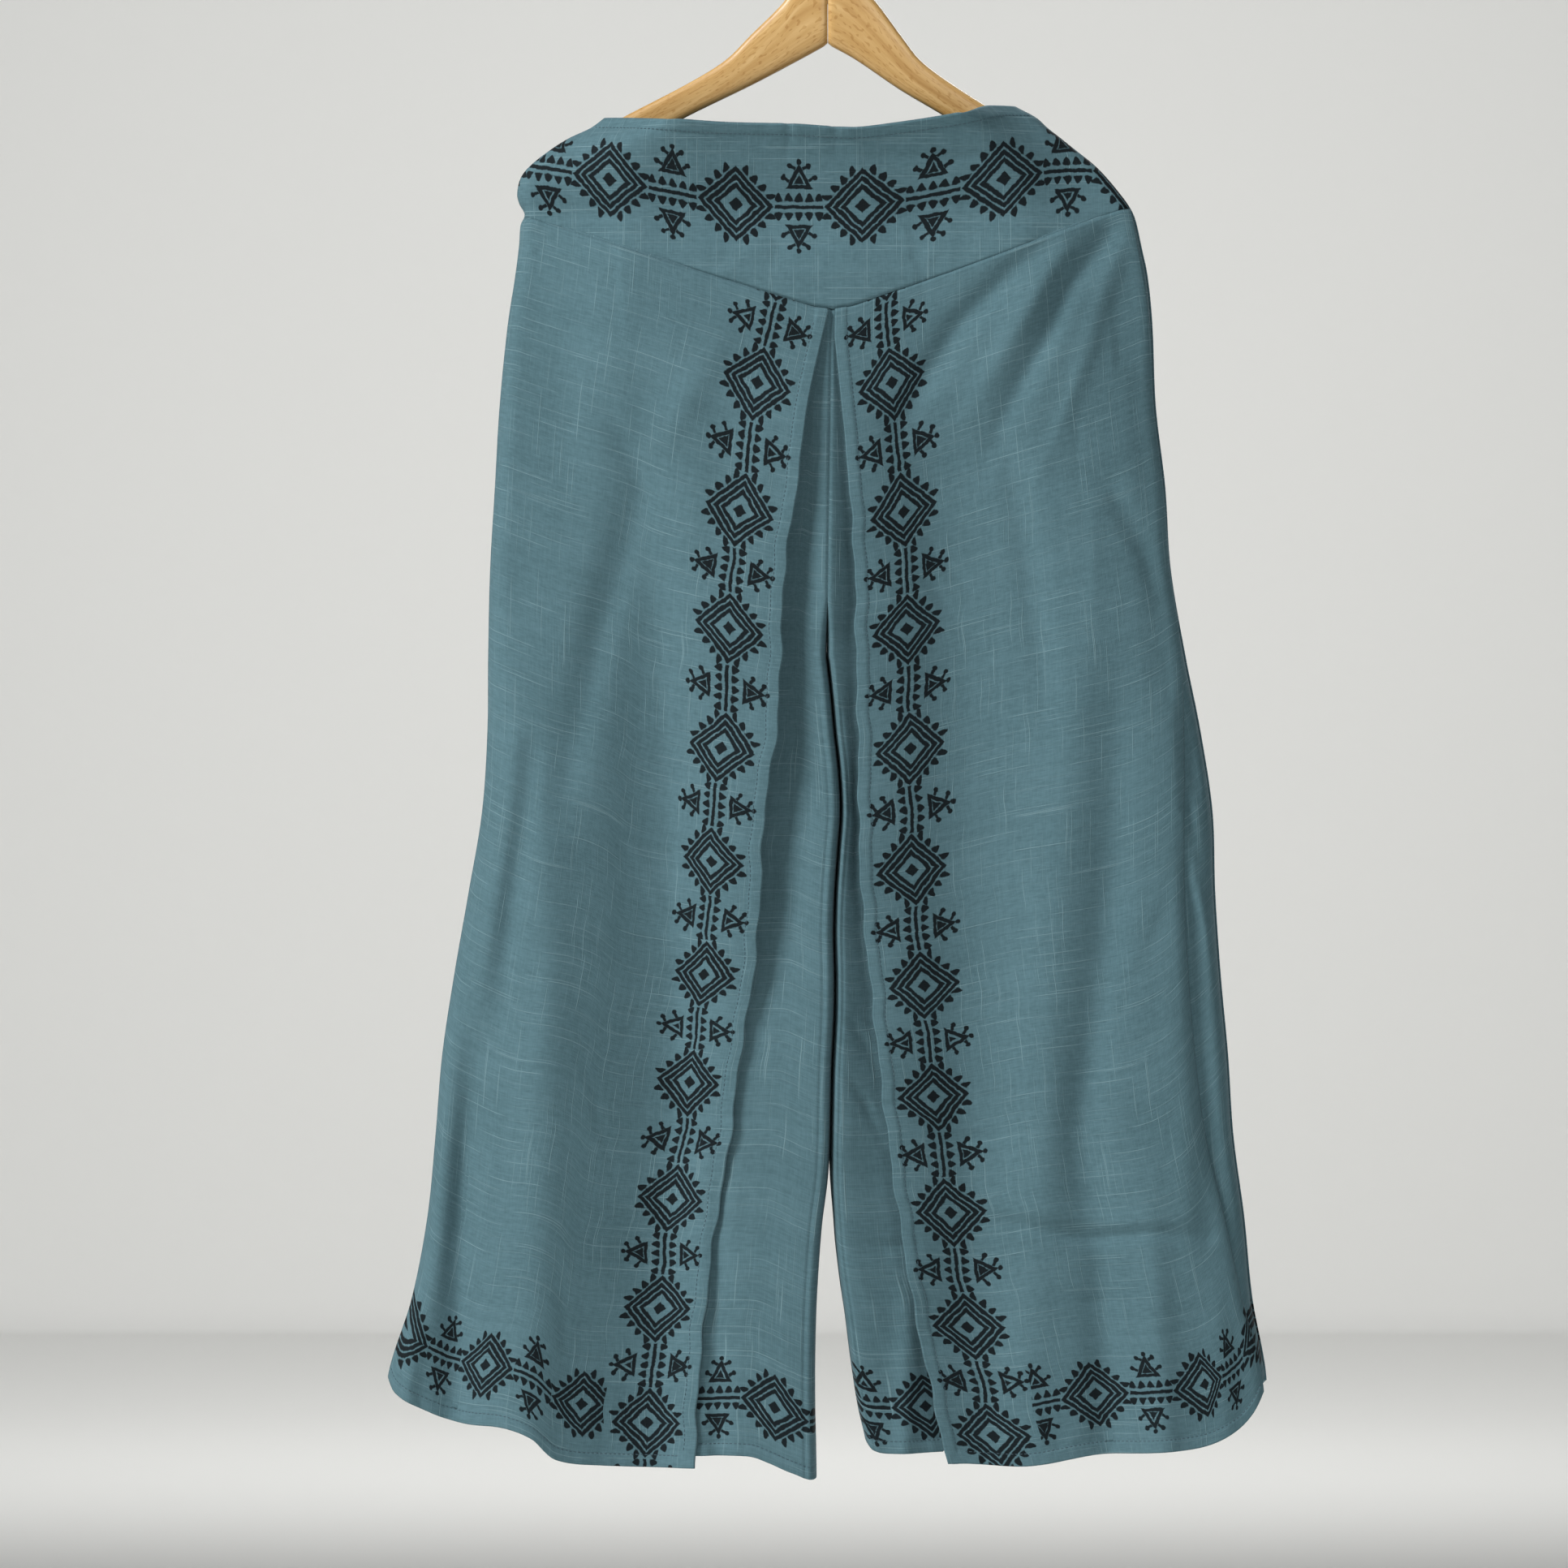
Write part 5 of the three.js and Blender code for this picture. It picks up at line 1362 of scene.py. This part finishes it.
def makeHook(material):
    # A round wire carried along its path: a ring from its tip over the top, an easy bend, and a stem
    h = hookLook
    angles = np.radians(h["start"] - np.linspace(0, h["sweep"], 60))
    centre = -h["ring"] + h["wire"]
    ring = np.stack([h["ring"] * np.cos(angles), centre + h["ring"] * np.sin(angles)], axis=-1)
    bendEnd = np.array([0.0, -h["bendStart"]])
    heading = np.array([math.sin(angles[-1]), -math.cos(angles[-1])])
    t = np.linspace(0, 1, 26)[1:, None]
    bend = (ring[-1] * (2 * t**3 - 3 * t**2 + 1) + bendEnd * (3 * t**2 - 2 * t**3)
            + heading * h["pull"] * 2.2 * (t**3 - 2 * t**2 + t)
            + np.array([0.0, -1.0]) * h["pull"] * 1.6 * (t**3 - t**2))
    stem = np.stack([np.zeros(8), np.linspace(-h["bendStart"] - 3, -h["stemEnd"], 8)], axis=-1)
    line = np.concatenate([ring, bend, stem])
    tangent = np.gradient(line, axis=0)
    tangent /= np.linalg.norm(tangent, axis=1, keepdims=True)
    side = np.stack([-tangent[:, 1], tangent[:, 0]], axis=-1)
    turns = np.linspace(0, 2 * math.pi, 21)[:-1]
    # The tip is rounded: smaller rings come before the first
    capAngles = np.radians(h["capAngles"])
    caps = [line[0] - tangent[0] * h["wire"] * math.sin(a) for a in capAngles]
    line = np.concatenate([caps, line])
    side = np.concatenate([[side[0]] * len(caps), side])
    radius = h["wire"] * np.concatenate([np.cos(capAngles), np.ones(len(line) - len(caps))])
    x = line[:, :1] + radius[:, None] * side[:, :1] * np.cos(turns)
    z = line[:, 1:] + radius[:, None] * side[:, 1:] * np.cos(turns)
    y = radius[:, None] * np.sin(turns)
    verts, quads = closedTube(np.stack([x, y, z], axis=-1))
    piece = makeMesh("hanger.hook", verts, quads, {}, material)
    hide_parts("hanger_hook")
    return piece


beech = varnishedBeech()
for side in (-1, 1):
    makeArm(side, beech)
makeHook(platedSteel())
print("scene: hanger made")

# Sewing

stitch = {
    "length": 2.5,
    "pitch": 3.4,
    "radius": 0.27,
    "lift": 0.12,
    "shares": [0.0, 0.25, 0.75, 1.0],  # the rings' places along a stitch, their sizes and their rise
    "sizes": [0.25, 1.0, 1.0, 0.25],
    "rises": [-0.6, 0.5, 0.5, -0.6],
    "colour": "#3f5862",
}


def sewingThread():
    # Polyester sewing thread a shade darker than the cloth: smooth, with a slight shine along the twist
    material, tree = newMaterial("polyester sewing thread")
    at = addNode(tree, "ShaderNodeTexCoord").outputs["Object"]
    fibre = addNode(tree, "ShaderNodeTexNoise", None, {"Vector": at, "Scale": 1500.0}).outputs["Fac"]
    known = addFormula(tree, [("rough", "MULTIPLY_ADD", "fibre", 0.25, 0.45)], {"fibre": fibre})
    shader = addNode(tree, "ShaderNodeBsdfPrincipled", None, {
        "Base Color": linearColour(stitch["colour"]), "Roughness": known["rough"]})
    addNode(tree, "ShaderNodeOutputMaterial", None, {"Surface": shader.outputs[0]})
    return material


def makeStitches(name, lines, outward, material):
    # Each stitch is a short spindle of four rings of five points, laid along its line and half sunk
    turns = np.linspace(0, 2 * math.pi, 6)[:-1]
    shares, sizes, rises = (np.array(stitch[key]) for key in ("shares", "sizes", "rises"))
    spindles = []
    for line in lines:
        arc = np.concatenate([[0], np.cumsum(np.linalg.norm(np.diff(line, axis=0), axis=1))])
        middles = np.arange(stitch["pitch"], arc[-1] - stitch["pitch"], stitch["pitch"])
        ends = middles[:, None] + np.array([-0.5, 0.5]) * stitch["length"]
        a, b = (np.stack([np.interp(end, arc, part) for part in line.T], axis=-1) for end in ends.T)
        along = b - a
        along /= np.linalg.norm(along, axis=1, keepdims=True)
        up = np.array([0, outward, 0]) - along * (along[:, 1:2] * outward)
        up /= np.linalg.norm(up, axis=1, keepdims=True)
        across = np.cross(along, up)
        spine = a[:, None] + (b - a)[:, None] * shares[None, :, None]
        spine = spine + up[:, None] * (rises * stitch["radius"] + stitch["lift"])[None, :, None]
        ringUp = np.cos(turns)[None, None, :, None] * up[:, None, None]
        ringAcross = np.sin(turns)[None, None, :, None] * across[:, None, None]
        size = (sizes * stitch["radius"])[None, :, None, None]
        spindles.append(spine[:, :, None] + size * (ringUp + ringAcross))
    rings = np.concatenate(spindles)
    count, levels, around = rings.shape[:3]
    shifts = (np.arange(count) * levels * around)[:, None, None]
    # Each end of five corners is closed by a quad and a triangle
    quads = np.concatenate([gridQuads(levels, around, 0, True), [[0, 1, 2, 3], [18, 17, 16, 15]]])
    triangles = np.array([[0, 3, 4], [19, 18, 15]])
    faces = [*(quads + shifts).reshape(-1, 4).tolist(), *(triangles + shifts).reshape(-1, 3).tolist()]
    mesh = bpy.data.meshes.new(name)
    mesh.from_pydata((rings.reshape(-1, 3) * metresPerMm).tolist(), [], faces)
    mesh.validate()
    mesh.update()
    mesh.materials.append(material)
    piece = bpy.data.objects.new(name, mesh)
    bpy.context.scene.collection.objects.link(piece)
    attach(piece, body)
    return piece


thread = sewingThread()
for name, (piece, lines) in sewn.items():
    outward = 1 if "back" in name else -1
    makeStitches(f"stitches.{name}", lines, outward, thread)
print("scene: stitches made")

# Declared cloth: the size that each panel was cut to, with its area
flatSizes = {
    "overlay.left": {"flat": (0.32, 0.99), "area": 0.214},
    "overlay.right": {"flat": (0.33, 0.99), "area": 0.220},
    "leg.front.left": {"flat": (0.38, 0.98), "area": 0.273},
    "leg.front.right": {"flat": (0.38, 0.98), "area": 0.279},
    "leg.back.left": {"flat": (0.38, 0.98), "area": 0.271},
    "leg.back.right": {"flat": (0.38, 0.98), "area": 0.275},
    "yoke.front": {"flat": (0.50, 0.20), "area": 0.050},
    "yoke.back": {"flat": (0.50, 0.16), "area": 0.041},
}


def meshArea(piece):
    # Half of all the faces' area, because a wall has two sides
    areas = np.zeros(len(piece.data.polygons), np.float32)
    piece.data.polygons.foreach_get("area", areas)
    return float(areas.sum()) / 2


for name, size in flatSizes.items():
    piece = sewn[name][0]
    print(f"scene: {name} area {meshArea(piece):.4f} m2")

# Floor, light and camera

studio = {
    "floorDown": 1900.0,  # millimetres: the floor of a room with the rail 1.9 m up
    "floorHalf": 16.0,  # metres, as the rest here
    "sweepStart": 14.0,
    "sweepEnd": 15.2,
    "backdropHeight": 9.0,
    "floor": "#eeeeeb",
    "world": "#eaecec",
    "worldStrength": 0.12,
    "middle": (0.0, 0.0, -0.66),  # of the garment
    "lights": {
        "key": {"at": (-5.2, -3.6, 4.2), "size": (2.4, 2.4), "power": 650.0},
        "fill": {"at": (1.8, -4.9, 1.2), "size": (1.8, 1.8), "power": 54.0},
        "backdrop": {"at": (0.0, 8.6, 1.8), "size": (4.0, 1.6), "power": 176.0,
                     "target": (0.0, 14.4, -0.9)},
        "back": {"at": (0.9, 2.8, 1.3), "size": (2.0, 2.0), "power": 75.0},
    },
}


def makeFloor():
    # A floor that sweeps up into a backdrop: height is a smooth step of the distance behind the part
    across = np.linspace(-1, 1, 9)[None, :] * studio["floorHalf"]
    behind = np.concatenate([np.linspace(-studio["floorHalf"], studio["sweepStart"], 12),
                             np.linspace(studio["sweepStart"], studio["sweepEnd"], 40)[1:]])[:, None]
    height = smoothStep(studio["sweepStart"], studio["sweepEnd"], behind) * studio["backdropHeight"]
    height = height - studio["floorDown"] * metresPerMm
    points = np.stack(np.broadcast_arrays(across, behind, height), axis=-1)
    quads = gridQuads(len(behind), across.size)
    mesh = bpy.data.meshes.new("floor")
    mesh.from_pydata(points.reshape(-1, 3).tolist(), [], quads[:, ::-1].tolist())
    mesh.polygons.foreach_set("use_smooth", np.ones(len(mesh.polygons), bool))
    material = bpy.data.materials.new("matt painted studio floor")
    material.use_nodes = True
    shader = material.node_tree.nodes["Principled BSDF"]
    shader.inputs["Base Color"].default_value = linearColour(studio["floor"])
    shader.inputs["Roughness"].default_value = 0.9
    mesh.materials.append(material)
    floor = bpy.data.objects.new("floor", mesh)
    bpy.context.scene.collection.objects.link(floor)


def aimAt(item, target):
    # Turns a light so that its own -Z points at the target
    direction = np.array(target) - np.array(item.location)
    level = math.hypot(direction[0], direction[1])
    heading = math.atan2(direction[1], direction[0]) - math.pi / 2
    item.rotation_euler = (math.atan2(level, -direction[2]), 0, heading)


def addLight(name, settings):
    # A soft rectangular light, aimed at its target or at the garment
    light = bpy.data.lights.new(name, "AREA")
    light.shape = "RECTANGLE"
    light.size, light.size_y = settings["size"]
    light.energy = settings["power"]
    item = bpy.data.objects.new(name, light)
    item.location = settings["at"]
    aimAt(item, settings.get("target", studio["middle"]))
    bpy.context.scene.collection.objects.link(item)


makeFloor()
for name, settings in studio["lights"].items():
    addLight(name, settings)

world = bpy.data.worlds.new("soft room light")
world.use_nodes = True
background = world.node_tree.nodes["Background"].inputs
background["Color"].default_value = linearColour(studio["world"])
background["Strength"].default_value = studio["worldStrength"]
bpy.context.scene.world = world

photo = {
    "width": 1932,
    "mmPerPixel": 0.6,
    "centreX": -32.4,  # what the middle of the frame looks at
    "centreDown": 675.6,
    "distance": 7000.0,  # stands well back, so that parts at different depths keep their places
    "clothPlane": 12.0,  # the depth at which the frame has the photo's scale
    "sensor": 36.0,
}
cameraData = bpy.data.cameras.new("camera")
cameraData.sensor_width = photo["sensor"]
cameraData.lens = photo["sensor"] * photo["distance"] / (photo["width"] * photo["mmPerPixel"])
camera = bpy.data.objects.new("camera", cameraData)
camera.location = (photo["centreX"] * metresPerMm,
                   -(photo["distance"] + photo["clothPlane"]) * metresPerMm,
                   -photo["centreDown"] * metresPerMm)
camera.rotation_euler = (math.pi / 2, 0, 0)
bpy.context.scene.collection.objects.link(camera)
bpy.context.scene.camera = camera
bpy.context.scene.view_settings.view_transform = "Standard"  # colours come out as their hex values
print("scene: floor, lights and camera made")
